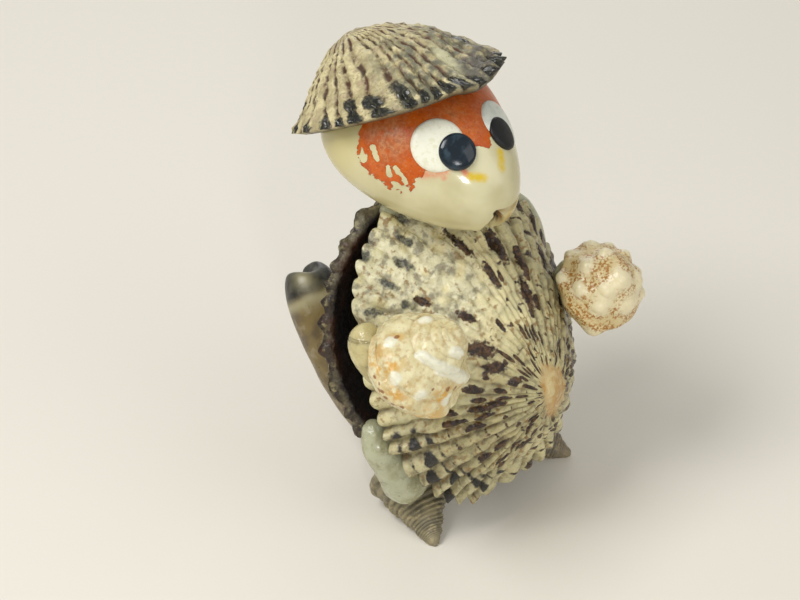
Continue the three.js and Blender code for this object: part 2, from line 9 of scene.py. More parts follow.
import bpy
import numpy as np
from mathutils import Matrix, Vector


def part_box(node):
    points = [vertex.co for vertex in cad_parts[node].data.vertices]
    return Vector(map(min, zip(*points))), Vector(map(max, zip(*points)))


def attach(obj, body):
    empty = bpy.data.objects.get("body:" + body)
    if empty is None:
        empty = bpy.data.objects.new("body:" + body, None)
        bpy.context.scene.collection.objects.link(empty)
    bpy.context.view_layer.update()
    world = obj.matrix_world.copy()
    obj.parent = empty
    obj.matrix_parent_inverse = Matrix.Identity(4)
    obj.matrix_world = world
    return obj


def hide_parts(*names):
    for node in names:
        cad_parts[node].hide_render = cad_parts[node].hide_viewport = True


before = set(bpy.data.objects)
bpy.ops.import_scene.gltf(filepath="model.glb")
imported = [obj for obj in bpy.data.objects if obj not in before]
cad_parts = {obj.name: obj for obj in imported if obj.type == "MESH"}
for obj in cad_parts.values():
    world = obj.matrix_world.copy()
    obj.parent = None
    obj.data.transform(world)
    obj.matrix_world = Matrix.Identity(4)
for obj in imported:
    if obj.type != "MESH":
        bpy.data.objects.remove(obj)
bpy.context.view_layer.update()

TURN = 2 * math.pi
MM = 0.001

# Sizes of the pieces in millimetres and degrees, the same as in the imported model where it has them

chest = Sizes(length=37.3, width=29.8, height=12.7, wall=1.3, apex_along=-6.5, apex_aside=0.6, square=2.35,
              steep=1.3, full=2.0, arch=0.3, ribs=44, rib_height=0.8, rib_reach=0.7, rib_start=1)
back = Sizes(length=37.2, width=32.8, height=13.2, wall=1.4, apex_along=-1.5, apex_aside=0, square=2.15,
             steep=1.1, full=1.9, arch=3.6, ribs=36, rib_height=0.9, rib_reach=0.5, rib_start=4)
hat = Sizes(length=25.9, width=22.3, height=8.9, wall=1.0, apex_along=-4.8, apex_aside=0, square=2.05,
            steep=1.38, full=2.24, arch=1.0, ribs=34, rib_height=0.55, rib_reach=0.4, rib_start=2)
head = Sizes(length=25.9, width=19.5, crown=8.75, base=7.1, taper=0.32, around=0.93, under=0.87)
slit = Sizes(half=0.9, depth=3.2, sway=0.9, pitch=1.9, reach=13.95, tooth=0.3, lip=1.3)
notch = Sizes(half_width=0.95, depth=3.2, half_height=2.1, below=1.4, aside=-1.0)
eye = Sizes(radius=3.0, thick=0.3, low=0.02, dome=0.15)
pupil = Sizes(radius=2.1, thick=0.45, low=0.3, dome=0.8)
thin_pupil = Sizes(radius=2.0, thick=0.2, low=0.3, dome=0.1)
right_paw = Sizes(radius=6.1, spire=5.6, base=4.4, shrink=0.5, taper=0.6, start=0.35, lean=16)
left_paw = Sizes(radius=5.4, spire=5.3, base=4.4, shrink=0.52, taper=0.58, start=0.1)
foot = Sizes(radius=4.9, spire=10.2, base=2.6, shrink=0.64, taper=0.92, start=0.2)
seam = Sizes(start=5, end=44, inside=1.8, outside=2.9, overlap=-0.3, gap=0.7)
tail = Sizes(length=29.7, radius=4.6, flatten=0.92, groove=1.0, groove_depth=1.1, notch=1.7)

# How many rings and sides the smaller pieces have

fine = Sizes(disc_sides=72, tail_rings=140, tail_sides=160, bead_rings=70, bead_sides=64, seam_rings=90,
             seam_sides=48)


# Small tools for numbers

def blend(low, high, amount):
    """The value that lies the given share of the way from low to high."""
    return low + (high - low) * amount


def rise(low, high, value):
    """0 up to low, 1 from high on, and a smooth rise between them."""
    share = np.clip((value - low) / (high - low), 0, 1)
    return share * share * (3 - 2 * share)


def dice(*numbers):
    """A number from 0 to 1 that never changes for the same whole numbers."""
    mixed = np.int64(77)  # where the mixing of bits starts; the large factors below spread them
    for number in numbers:
        mixed = ((mixed ^ np.asarray(number).astype(np.int64)) * 668265263) & 0x7FFFFFFF
        mixed ^= mixed >> 13
    mixed = (mixed * 1274126177) & 0x7FFFFFFF
    return ((mixed ^ (mixed >> 15)) & 0xFFFFFF) / 0xFFFFFF


def lumps(points, size, seed):
    """Smooth noise from -1 to 1, with lumps about size millimetres across."""
    scaled = points / size + seed * 0.37
    cell = np.floor(scaled).astype(np.int64)
    part = scaled - cell
    part = part * part * (3 - 2 * part)
    total = 0
    for corner in np.ndindex(2, 2, 2):
        weight = np.where(corner, part, 1 - part).prod(axis=-1)
        total += weight * dice(*np.moveaxis(cell + corner, -1, 0), seed)
    return 2 * total - 1


def unit(vectors):
    """The same directions with a length of one."""
    return vectors / np.maximum(np.linalg.norm(vectors, axis=-1, keepdims=True), 1e-9)


def angles(sides):
    """The directions of a ring's points, in radians."""
    return np.arange(sides) * TURN / sides


def spokes(first, second, sides):
    """A ring's directions, from a first axis round over a second one."""
    angle = angles(sides)[:, None]
    return np.cos(angle) * first[..., None, :] + np.sin(angle) * second[..., None, :]


def outward(rings):
    """The outward directions of a surface whose rings run from its top down."""
    along = np.gradient(rings, axis=0)
    across = np.roll(rings, -1, axis=1) - np.roll(rings, 1, axis=1)
    return unit(np.cross(along, across))


def raised(rings, lift):
    """A surface moved outwards by its lift at each point."""
    return rings + outward(rings) * lift[..., None]


def near(points, spot, size):
    """1 at a spot, falling softly to 0 at about twice the size from it."""
    gap = np.linalg.norm((points - spot) / size, axis=-1)
    return np.exp(-gap * gap)


def ridge_at(value, place, half_width):
    """1 where a value is at its place, falling softly on both sides."""
    return np.exp(-((value - place) / half_width) ** 2)


def stroke(points, start, end, half_width):
    """A brush stroke from start to end: 0.5 on its edge, more inside it."""
    start = np.array(start)
    reach = np.array(end) - start
    share = np.clip((points - start) @ reach / (reach @ reach), 0, 1)
    gap = np.linalg.norm(points - start - share[..., None] * reach, axis=-1)
    return np.clip(1 - gap / half_width / 2, 0, 1)


def strokes(points, *runs):
    """Several brush strokes, each with its start, its end and its half width."""
    return np.max([stroke(points, *run) for run in runs], axis=0)


def placed(where, turn):
    """The place of a piece: millimetres, and degrees about x, y and z, the z turn first."""
    turned = Matrix.Identity(3)
    for degrees, axis in zip(turn, "XYZ"):
        turned = turned @ Matrix.Rotation(math.radians(degrees), 3, axis)
    return np.array(turned), np.array(where)


# Where each shell stands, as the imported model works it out; its right paw leans in the looks alone

chest_place = placed((0.8533, -5.3732, 22.5026), (65, 0, 0))
back_place = placed((0.8533, -4.1894, 23.385), (-115, 0, 175.6))
head_place = placed((0.3533, 0.4268, 47.0318), (14.4, 0, 0))
hat_place = placed((0.3489, 5.7111, 50.6647), (-32.4, -1.6, 180))
right_paw_place = placed((-13.3813, -12.529, 30.253), (40, right_paw.lean, 0))
left_paw_place = placed((13.9371, -14.8759, 28.5889), (40, 0, 0))
right_foot_place = placed((-7.3526, -4.7732, 4.1168), (117.0771, -17.9563, 28.9565))
left_foot_place = placed((8.8591, -4.9732, 4.1168), (119.8042, 29.4017, -48.7063))
tail_place = placed((-3.1467, 0.0487, -0.3), (-39.6, -3, 0))
figure_place = placed((0, 0, 0), (0, 0, 0))


# Turning rings of points into pieces

def added(name, data):
    """A new object in the scene."""
    thing = bpy.data.objects.new(name, data)
    bpy.context.scene.collection.objects.link(thing)
    return thing


def skin(node, rings, place, slot, paint, **marks):
    """One closed piece from rings of points, with a fan at each end and nothing under the table."""
    count, sides = rings.shape[:2]
    turned, moved = place
    points = np.concatenate([rings.reshape(-1, 3), rings[:1].mean(axis=1), rings[-1:].mean(axis=1)])
    points = (points @ turned.T + moved) * MM
    points[:, 2] = np.maximum(points[:, 2], 0)
    here = np.arange(count * sides).reshape(count, sides)
    beside = np.roll(here, -1, axis=1)
    faces = np.stack([here[:-1], beside[:-1], beside[1:], here[1:]], axis=-1).reshape(-1, 4).tolist()
    end = count * sides
    faces += [[end, beside[0, side], here[0, side]] for side in range(sides)]
    faces += [[end + 1, here[-1, side], beside[-1, side]] for side in range(sides)]
    mesh = bpy.data.meshes.new(node + "_look")
    mesh.from_pydata(points.tolist(), [], faces)
    # A surface whose volume comes out negative faces inwards, and is turned over
    corners = points[np.array(faces[:len(faces) - 2 * sides])]
    middle = points.mean(axis=0)
    volume = np.einsum("ij,ij->i", corners[:, 0] - middle,
                       np.cross(corners[:, 1] - middle, corners[:, 2] - middle)).sum()
    if volume < 0:
        mesh.flip_normals()
    mesh.shade_smooth()
    for name, values in marks.items():
        values = np.broadcast_to(values, rings.shape[:2]).astype(float)
        ends = [values[0].mean(), values[-1].mean()]
        mark = mesh.attributes.new(name, "FLOAT", "POINT")
        mark.data.foreach_set("value", np.concatenate([values.reshape(-1), ends]))
    mesh.materials.append(paint)
    piece = added(node + "_look", mesh)
    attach(piece, "root")
    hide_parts(node)


# Paints, all of them made of nodes

def colour(code):
    """A colour that is written as six digits, as the shader wants it."""
    shown = [int(code[place:place + 2], 16) / 255 for place in (0, 2, 4)]
    return tuple(((part + 0.055) / 1.055) ** 2.4 if part > 0.04 else part / 12.92 for part in shown) + (1,)


class Paint:
    """A material in the making. Its sizes are in millimetres."""

    def __init__(self, name):
        self.material = bpy.data.materials.new(name)
        self.material.use_nodes = True
        self.nodes = self.material.node_tree.nodes
        self.links = self.material.node_tree.links
        self.shader = self.nodes["Principled BSDF"]
        place = self.nodes.new("ShaderNodeTexCoord").outputs["Object"]
        scaled = self.nodes.new("ShaderNodeVectorMath")
        scaled.operation = "SCALE"
        self.put(scaled.inputs[0], place)
        self.put(scaled.inputs["Scale"], 1 / MM)
        self.place = scaled.outputs[0]
        self.base = None
        self.normal = None

    def put(self, socket, value):
        """Joins another node's output to a socket, or sets a colour or a number there."""
        if isinstance(value, bpy.types.NodeSocket):
            self.links.new(value, socket)
        elif isinstance(value, str):
            socket.default_value = colour(value)
        else:
            socket.default_value = value

    def mark(self, name):
        """A number that the mesh carries at its points."""
        node = self.nodes.new("ShaderNodeAttribute")
        node.attribute_name = name
        return node.outputs["Fac"]

    def clouds(self, size, detail=3.0):
        """Cloudy noise from 0 to 1."""
        node = self.nodes.new("ShaderNodeTexNoise")
        self.put(node.inputs["Vector"], self.place)
        self.put(node.inputs["Scale"], 1 / size)
        self.put(node.inputs["Detail"], detail)
        return node.outputs["Fac"]

    def cells(self, size):
        """The distance from the middle of random cells, as a share of their size."""
        node = self.nodes.new("ShaderNodeTexVoronoi")
        self.put(node.inputs["Vector"], self.place)
        self.put(node.inputs["Scale"], 1 / size)
        return node.outputs["Distance"]

    def count(self, kind, first, second, third=0.0):
        """Arithmetic on two or three values."""
        node = self.nodes.new("ShaderNodeMath")
        node.operation = kind
        for socket, value in zip(node.inputs, (first, second, third)):
            self.put(socket, value)
        return node.outputs[0]

    def times(self, first, second):
        """The product of two values."""
        return self.count("MULTIPLY", first, second)

    def rise(self, value, low, high, start=0.0, end=1.0):
        """A smooth rise from start to end, between two values."""
        node = self.nodes.new("ShaderNodeMapRange")
        node.interpolation_type = "SMOOTHSTEP"
        for socket, number in zip(node.inputs, (value, low, high, start, end)):
            self.put(socket, number)
        return node.outputs[0]

    def patches(self, size, low, high, detail=3.0, least=0.0, most=1.0):
        """Cloudy patches with soft edges: the lower low and high are, the more they cover."""
        return self.rise(self.clouds(size, detail), low, high, least, most)

    def drift(self, size, least, most):
        """A value that drifts between least and most."""
        return self.patches(size, 0.3, 0.7, least=least, most=most)

    def rough_edge(self, name, size, amount, soft):
        """A soft mark of the mesh made crisp, with a ragged edge where the mark is 0.5."""
        ragged = self.count("MULTIPLY_ADD", self.clouds(size), amount, self.mark(name))
        return self.rise(ragged, 0.5 + amount / 2 - soft, 0.5 + amount / 2 + soft)

    def mix(self, amount, first, second):
        """A colour between two colours."""
        node = self.nodes.new("ShaderNodeMix")
        node.data_type = "RGBA"
        for socket, value in zip((node.inputs[0], node.inputs[6], node.inputs[7]), (amount, first, second)):
            self.put(socket, value)
        return node.outputs[2]

    def mottled(self, first, second, size, low, high, detail=3.0, most=1.0):
        """A colour with cloudy patches of a second one."""
        return self.mix(self.patches(size, low, high, detail, most=most), first, second)

    def cover(self, tone, where=None, clouds=None, least=0.0, most=1.0):
        """Lays a tone over the base colour, where a mark is, in cloudy patches or both."""
        amount = self.mark(where) if isinstance(where, str) else where
        if clouds:
            patches = self.patches(*clouds, least=least, most=most)
            amount = self.times(amount, patches) if where else patches
        elif most < 1:
            amount = self.times(amount, most)
        self.base = self.mix(amount, self.base, tone)

    def dent(self, height, depth):
        """Fine relief of the given depth."""
        node = self.nodes.new("ShaderNodeBump")
        self.put(node.inputs["Distance"], depth * MM)
        self.put(node.inputs["Height"], height)
        if self.normal:
            self.put(node.inputs["Normal"], self.normal)
        self.normal = node.outputs[0]

    def done(self, **sockets):
        """The finished material; a socket's name is written with a line for each gap."""
        self.put(self.shader.inputs["Base Color"], self.base)
        for name, value in sockets.items():
            self.put(self.shader.inputs[name.replace("_", " ").title()], value)
        if self.normal:
            self.put(self.shader.inputs["Normal"], self.normal)
        return self.material


# How light sinks into thick pale shell
WAXY = {"subsurface_weight": 0.12, "subsurface_radius": (1, 0.7, 0.4)}


def chest_paint():
    """Cream ribs with glossy brown dashes, a bleached shoulder and a worn tan apex."""
    paint = Paint("chest_paint")
    paint.base = paint.mottled("e2d8a6", "c9c39a", 3, 0.4, 0.62)
    paint.cover("e9dca8", "yellow", clouds=(2.4, 0.3, 0.6))
    bleached = paint.mottled("98927a", "e3ddb8", 1.2, 0.36, 0.54, 5)
    paint.cover(bleached, "lime", clouds=(2.2, 0.3, 0.5))
    # Darker all over, most towards the lower rim, on the left side and round the apex, with darker furrows
    # there: at the lower rim and on the left side this is painted shade
    paint.cover("a89b68", "weathered", most=0.5)
    paint.cover("7d7253", "weathered", clouds=(0.8, 0.5, 0.66, 5), most=0.7)
    furrow = paint.times(paint.mark("furrow"), paint.patches(1.3, 0.36, 0.6, 4, least=0.3))
    paint.cover(paint.mix(paint.mark("weathered"), "978a62", "5d4f35"), furrow)
    paint.cover("8a6532", paint.patches(0.7, 0.52, 0.64, 5, most=0.8), clouds=(2.0, 0.4, 0.6))
    dark = paint.mottled("33332f", "6a6a57", 0.35, 0.42, 0.62, 4)
    paint.cover(dark, paint.rough_edge("spots", 0.8, 1.3, 0.2), most=0.95)
    brown = paint.mottled("2e1e14", "5f4329", 0.6, 0.42, 0.66, 4)
    paint.cover(brown, paint.rough_edge("dash", 0.5, 0.75, 0.1))
    paint.cover("2b2823", paint.rough_edge("night", 0.5, 0.45, 0.12))
    apex = paint.mottled("c79d55", "d8c490", 1.6, 0.38, 0.6)
    apex = paint.mix(paint.rise(paint.mark("orange"), 0.1, 0.9), apex, "b8803a")
    paint.cover(apex, paint.rough_edge("worn", 0.9, 0.25, 0.1))
    paint.cover("4a3a30", "inside")
    paint.dent(paint.clouds(0.22, 4), 0.09)
    paint.dent(paint.clouds(0.7, 4), 0.24)
    return paint.done(roughness=paint.drift(0.8, 0.1, 0.32))


def hat_paint():
    """Cream ribs, brown streaks between them and glossy black beads along the rim."""
    paint = Paint("hat_paint")
    paint.base = paint.mottled("ddd09f", "b5a87c", 2.0, 0.38, 0.62, 4)
    paint.cover("b79d80", clouds=(1.1, 0.52, 0.66, 5), most=0.5)
    paint.cover("8d7f5c", clouds=(0.4, 0.48, 0.66, 4), most=0.45)
    paint.cover("6f6d56", "grey", clouds=(1.3, 0.36, 0.6, 5))
    streak = paint.mottled("4a3a24", "5a3a26", 2, 0.4, 0.6)
    paint.cover(streak, "furrow", clouds=(1.2, 0.4, 0.55), least=0.25)
    paint.cover("d3cfa6", paint.rough_edge("pale", 0.7, 0.5, 0.25), most=0.7)
    specks = paint.rise(paint.cells(0.4), 0.22, 0.12)
    paint.cover("4a3f2c", specks, clouds=(1.5, 0.48, 0.6))
    paint.cover("5f5a50", "tip", clouds=(0.8, 0.3, 0.55, 4))
    bead = paint.rough_edge("bead", 0.45, 0.5, 0.12)
    paint.cover(paint.mottled("1f1f1a", "4b4a3a", 0.6, 0.45, 0.7, 4), bead)
    # The inside is a dull brown, darkened further as painted shade so that the rim's edge looks shadowed
    paint.cover("544d3c", "inside")
    fine = paint.rise(bead, 0, 1, 1, 0.1)
    paint.dent(paint.times(paint.clouds(0.22, 4), fine), 0.1)
    paint.dent(paint.times(paint.clouds(0.7, 4), fine), 0.22)
    rough = paint.count("SUBTRACT", paint.drift(1.0, 0.28, 0.55), paint.times(bead, 0.14))
    return paint.done(roughness=rough)


def back_paint():
    """Scaly grey-brown outside with black and reddish lumps, and a dark brown inside."""
    paint = Paint("back_paint")
    paint.base = paint.mottled("8f8460", "4c3e2d", 3.4, 0.4, 0.6)
    paint.cover("332b24", clouds=(1.0, 0.5, 0.62, 4))
    paint.cover("b5a878", clouds=(0.6, 0.56, 0.66, 4))
    paint.cover("352c22", "furrow")
    paint.cover("a9a17d", "pale", clouds=(1.1, 0.35, 0.55))
    paint.cover("5a2c1d", clouds=(1.5, 0.57, 0.66), most=0.5)
    paint.cover("251a15", "rim", clouds=(0.7, 0.62, 0.46, 4), least=0.15, most=0.9)
    paint.cover(paint.mottled("1d1613", "3a2113", 4, 0.45, 0.65), "inside")
    paint.dent(paint.clouds(0.3, 4), 0.12)
    paint.dent(paint.clouds(1.0, 4), 0.25)
    return paint.done(roughness=paint.patches(1.1, 0.35, 0.65, least=0.28, most=0.55))


def head_paint():
    """Glossy ivory under orange-red paint that is flaked at its edges and paler on top, partly from dust
    and partly as a painted sheen.
    """
    paint = Paint("head_paint")
    paint.base = paint.mottled("dbd4ac", "ccc398", 6, 0.4, 0.65)
    paint.cover("d0c48c", "warm")
    paint.cover("c9ab62", "mouth")
    # Brown in the mouth's crease, on the notch's walls and down the slit: a brown lip line that grades into
    # painted shade where they sink in
    paint.cover("8a5a22", "crease")
    # The mouth's hollow and the deepest part of the slit are near black: a painted shadow
    paint.cover("160d09", "throat")
    for name, tone in (("salmon", "e08a68"), ("yellow", "e0c02a")):
        smear = paint.rise(paint.mark(name), 0.05, 0.8)
        paint.cover(tone, smear, clouds=(0.7, 0.3, 0.6), least=0.5, most=0.95)
    # Paler tan on the upper paint: partly dust, partly a painted sheen of light
    dust = paint.times(paint.mark("dust"), paint.patches(1.1, 0.3, 0.62, 5, least=0.45))
    red = paint.mottled("cf5f02", "bf4f00", 1.8, 0.4, 0.62, 4)
    red = paint.mix(dust, red, paint.mottled("b07048", "c98e60", 0.4, 0.4, 0.6, 4))
    red = paint.mottled(red, "cc9468", 0.25, 0.56, 0.7, most=0.4)
    red = paint.mottled(red, "8a3a10", 0.35, 0.58, 0.68, 4, most=0.35)
    chipped = paint.rough_edge("painted", 0.35, 0.4, 0.03)
    paint.cover(red, chipped)
    paint.dent(chipped, 0.04)
    paint.dent(paint.times(chipped, paint.clouds(0.5, 4)), 0.05)
    rough = paint.count("MULTIPLY_ADD", chipped, 0.2, paint.drift(3, 0.1, 0.16))
    return paint.done(roughness=rough, subsurface_scale=1.2 * MM, **WAXY)


def plain_gloss(name, tone, second, rough, size):
    """A glossy plastic with faint clouds and a very fine unevenness."""
    paint = Paint(name)
    paint.base = paint.mottled(tone, second, size, 0.45, 0.7)
    paint.dent(paint.clouds(0.5), 0.008)
    return paint.done(roughness=paint.drift(0.8, rough, rough + 0.12))


def right_paw_paint():
    """Cream with white nodules, orange-yellow stains and brown dots."""
    paint = Paint("right_paw_paint")
    paint.base = paint.mottled("eae1b6", "d9cc9c", 1.8, 0.38, 0.62, 4)
    paint.cover("bfa06a", clouds=(0.7, 0.48, 0.66, 4), most=0.6)
    paint.cover("b89c6c", paint.rise(paint.mark("groove"), 0.3, 0.9, 0, 0.22))
    paint.cover("d89f30", "stain", clouds=(0.9, 0.4, 0.6, 4), most=0.8)
    paint.cover("efeeda", paint.rough_edge("white", 0.7, 0.5, 0.14), most=0.8)
    paint.cover("8c501c", paint.rough_edge("dots", 0.35, 0.4, 0.2), most=0.85)
    paint.dent(paint.clouds(0.5, 4), 0.12)
    return paint.done(roughness=paint.drift(1.5, 0.16, 0.34), subsurface_scale=MM, **WAXY)


def left_paw_paint():
    """Smooth cream knobs with rust-coloured specks between them."""
    paint = Paint("left_paw_paint")
    paint.base = paint.mix(paint.rise(paint.mark("knob"), 0.15, 0.6), "dcc894", "ebdfb8")
    rust = paint.times(paint.patches(0.3, 0.46, 0.55, 5), paint.rise(paint.mark("knob"), 0.75, 0.4))
    paint.cover("ab762f", rust, clouds=(1.6, 0.38, 0.52))
    specks = paint.times(paint.rise(paint.cells(0.45), 0.2, 0.1), paint.rise(paint.mark("knob"), 0.9, 0.4))
    paint.cover("8a5a2c", specks, clouds=(1.1, 0.45, 0.55))
    paint.dent(paint.clouds(0.6, 4), 0.1)
    return paint.done(roughness=paint.drift(1.5, 0.2, 0.36), subsurface_scale=MM, **WAXY)


def foot_paint(name, tone, second):
    """Grey-brown top shell with darker lines in its grooves."""
    paint = Paint(name)
    paint.base = paint.mottled(tone, second, 2.0, 0.4, 0.6, 4)
    paint.cover("b3a47b", clouds=(0.8, 0.55, 0.65), most=0.7)
    paint.cover("4a4536", "groove", clouds=(1.4, 0.35, 0.6), least=0.225, most=0.75)
    paint.cover("a89c7a", "tip", most=0.5)
    paint.dent(paint.clouds(0.3, 4), 0.08)
    return paint.done(roughness=paint.drift(1.1, 0.35, 0.6))


def tail_paint():
    """Olive shell: brown and mottled, with a charcoal tip and a pale ring under it."""
    paint = Paint("tail_paint")
    paint.base = paint.mottled("7a683c", "5e4f35", 3.5, 0.4, 0.62)
    paint.cover("94876a", clouds=(1.6, 0.52, 0.66, 4), most=0.7)
    paint.cover("a79f7c", "ring")
    paint.cover(paint.mottled("23221f", "45443a", 1.5, 0.4, 0.6), "tip")
    paint.cover("9c9470", "beige")
    paint.dent(paint.clouds(0.8, 4), 0.05)
    return paint.done(roughness=paint.drift(1.5, 0.26, 0.42))


def glue_paint(name, tone, second):
    """Hot glue: milky, pale, glossy and partly clear."""
    paint = Paint(name)
    paint.base = paint.mottled(tone, second, 2.4, 0.4, 0.62)
    paint.cover("8f8b70", clouds=(0.9, 0.62, 0.7), most=0.4)
    paint.dent(paint.clouds(1.4), 0.45)
    paint.dent(paint.clouds(0.5), 0.05)
    return paint.done(roughness=paint.drift(1.2, 0.12, 0.28), transmission_weight=0.15,
                      subsurface_weight=0.5, subsurface_radius=(1, 1, 0.8), subsurface_scale=2 * MM)


# The three limpets

def limpet_point(shell, share, angle):
    """The smooth outside of a limpet at a share of the way from its apex to its rim."""
    cos = np.cos(angle)
    sin = np.sin(angle)
    corner = (np.abs(cos) ** shell.square + np.abs(sin) ** shell.square) ** (-1 / shell.square)
    slope = blend(shell.steep, shell.full, (1 + sin) / 2)
    return np.stack([
        blend(shell.apex_aside, shell.width / 2 * cos * corner, share),
        blend(shell.apex_along, shell.length / 2 * sin * corner, share),
        shell.height * (1 - share ** slope) + shell.arch * (cos * share) ** 2,
    ], axis=-1)


def limpet_grid(shell, per_rib, outer_rings, inner_rings):
    """The rings of a limpet's outside and inside, and where its ribs run."""
    columns = shell.ribs * per_rib
    shares = np.concatenate([np.linspace(0.012, 1, outer_rings), np.linspace(1, 0.02, inner_rings)])
    share, angle = np.meshgrid(shares, angles(columns), indexing="ij")
    inside = np.arange(outer_rings + inner_rings)[:, None] >= outer_rings
    smooth = limpet_point(shell, share, angle)
    facing = np.concatenate([outward(smooth[:outer_rings]), -outward(smooth[outer_rings:])])
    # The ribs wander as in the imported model, and a little more from lump to lump
    strayed = np.sin(3 * angle + shell.rib_start) + 0.7 * np.sin(7 * angle + 2 * shell.rib_start)
    turns = angle * shell.ribs / TURN + 0.4 * strayed
    turns += 0.22 * rise(0.1, 0.5, share) * lumps(smooth, 3.2, shell.rib_start)
    turns += 0.12 * rise(0.3, 0.7, share) * lumps(smooth, 1.3, shell.rib_start + 1)
    rib = np.round(turns) % shell.ribs
    beside = turns - np.round(turns)
    level = unit((limpet_point(shell, 1.0, angle) - limpet_point(shell, 0.9, angle)) * [1, 1, 0])
    return Sizes(share=share, angle=np.degrees(angle), inside=inside, smooth=smooth, facing=facing, rib=rib,
                 gap=np.floor(turns) % shell.ribs, beside=beside, level=level,
                 crest=np.abs(np.cos(math.pi * beside)) ** 0.8,
                 strength=0.8 + 0.2 * np.sin(rib * 2.4) * np.cos(rib * 1.3))


def growth(grid, steps, seed, scallop, uneven):
    """Growth steps across the ribs: a slow rise towards the rim, then a sharp fall."""
    age = grid.share + scallop * grid.crest + 0.018 * lumps(grid.smooth, 3.5, seed)
    age += 0.008 * lumps(grid.smooth, 1.2, seed + 1) + uneven * dice(grid.rib, seed)
    part = (age ** 1.15 * steps) % 1
    return part * rise(1.0, 0.82, part) - 0.4


def dashes(grid, shell, seed, amount, wide, crowd):
    """Dashes along the ribs, 0.5 on their edges; the amount is the most of a rib that they cover."""
    # A number that grows by one from dash to dash; they get longer towards the rim
    number = shell.length * crowd / 4 * np.log1p(1.25 * grid.share) * 1.1 + dice(grid.rib, seed) * 3
    pitch = (1.6 + 2 * grid.share) / crowd
    slot = np.floor(number)
    middle = 0.5 + 0.3 * (dice(grid.rib, slot, seed + 1) - 0.5)
    half = np.maximum(0.02, 0.6 * amount * rise(0.05, 1, dice(grid.rib, slot, seed + 2)) - 0.03)
    from_end = np.abs(number - slot - middle) / half
    aside = 0.16 * (dice(grid.rib, slot, seed + 4) - 0.5)
    from_side = np.abs(grid.beside - aside) / (wide + 0.12 * dice(grid.rib, slot, seed + 3))
    size = np.minimum(half * pitch, 1.0)
    square = 2.3  # 2 would make the dashes oval
    return np.clip(0.5 + size * (1 - (from_end ** square + from_side ** square) ** (1 / square)), 0, 1)


def blotch(grid, spots):
    """Spots that spread over several ribs, each given as x, y, its two half sizes and its turn."""
    total = np.zeros(grid.share.shape)
    for across, along, long_half, short_half, degrees in spots:
        away = grid.smooth[..., :2] - [across, along]
        cos = math.cos(math.radians(degrees))
        sin = math.sin(math.radians(degrees))
        first = (away[..., 0] * cos + away[..., 1] * sin) / long_half
        second = (away[..., 1] * cos - away[..., 0] * sin) / short_half
        total = np.maximum(total, 1 - 0.5 * np.hypot(first, second))
    return np.clip(total, 0, 1)


def within(grid, middle, spread):
    """1 in a direction in degrees, and 0 from its spread on; 90 is up, and on the hat forwards."""
    away = np.abs((grid.angle - middle + 180) % 360 - 180)
    return rise(spread, spread / 2, away)


def limpet_rings(grid, shell, lift, tongue):
    """The finished rings: lifted along the surface, with tongues at the rim and a wall inside."""
    out = shell.rib_reach * tongue * grid.crest * rise(0.8, 1.0, grid.share)
    outer = grid.smooth + grid.facing * lift[..., None] + grid.level * out[..., None]
    wall = shell.wall * (1 - 0.35 * grid.share ** 6) - 0.12 * grid.crest * grid.share ** 5
    inner = grid.smooth - grid.facing * wall[..., None] + grid.level * (0.4 * out)[..., None]
    return np.where(grid.inside[..., None], inner, outer)


# Chest: dashes, the blotches that the photograph shows, a lumpy shoulder and raised lower ribs

grid = limpet_grid(chest, per_rib=14, outer_rings=136, inner_rings=22)
outer_side = 1 - grid.inside
worn_down = within(grid, 136, 52) * rise(0.36, 0.62, grid.share)
lumpy = np.maximum(worn_down, within(grid, 112, 34) * rise(0.66, 0.86, grid.share))
lower = within(grid, 228, 42)
left_side = within(grid, 20, 80)
smoother = within(grid, 108, 48) * rise(0.2, 0.4, grid.share)
strength = grid.strength * blend(1, 0.45, within(grid, 140, 32)) * blend(1, 1.45, lower)
strength *= (0.95 + 0.45 * lumps(grid.smooth, 3.5, 5)) * (1 - 0.3 * lumpy) * (1 - 0.3 * smoother)
beads = growth(grid, steps=9, seed=2, scallop=0.02, uneven=0.09) * (0.4 + 0.6 * grid.crest)
lift = chest.rib_height * strength * grid.crest * grid.share ** 0.8 * rise(0.03, 0.2, grid.share)
lift += (0.04 + 0.06 * lower) * beads * rise(0.3, 0.6, grid.share) * (1 - 0.6 * lumpy)
lift += lumpy * (0.3 * lumps(grid.smooth, 1.7, 3) + 0.26 * lumps(grid.smooth, 0.9, 4))
for spot, size, height in (((-13.2, 10.9, 0.6), 1.2, 1.0), ((-8.9, 14.2, 2.2), 0.9, 0.5)):
    lift += height * near(grid.smooth, spot, size)
lift += 0.24 * lumps(grid.smooth, 1.5, 7) + 0.12 * lumps(grid.smooth, 0.7, 8)
sparse = 0.78 - 0.5 * within(grid, 112, 44) * rise(0.3, 0.5, grid.share) + 0.16 * left_side
dash = dashes(grid, chest, seed=11, amount=sparse, wide=0.28, crowd=0.8) * (1 - 0.9 * worn_down)
dash = np.maximum(dash, blotch(grid, [
    (3.1, 10.6, 2.0, 0.9, 84), (3.1, 4.9, 1.8, 0.8, 80), (4.7, 7.6, 1.2, 0.5, 72),
    (-0.9, 12.6, 1.9, 0.6, 100), (0.2, 8.3, 1.6, 0.5, 92), (-5.3, 1.6, 1.5, 1.0, 145),
    (-4.7, -0.9, 1.2, 0.7, 160), (-5.1, 5.5, 1.2, 0.5, 128), (-3.1, -3.2, 0.8, 0.5, 160),
    (-6.0, -5.3, 1.3, 0.5, 192), (-8.2, 8.6, 0.8, 0.45, 130)]))
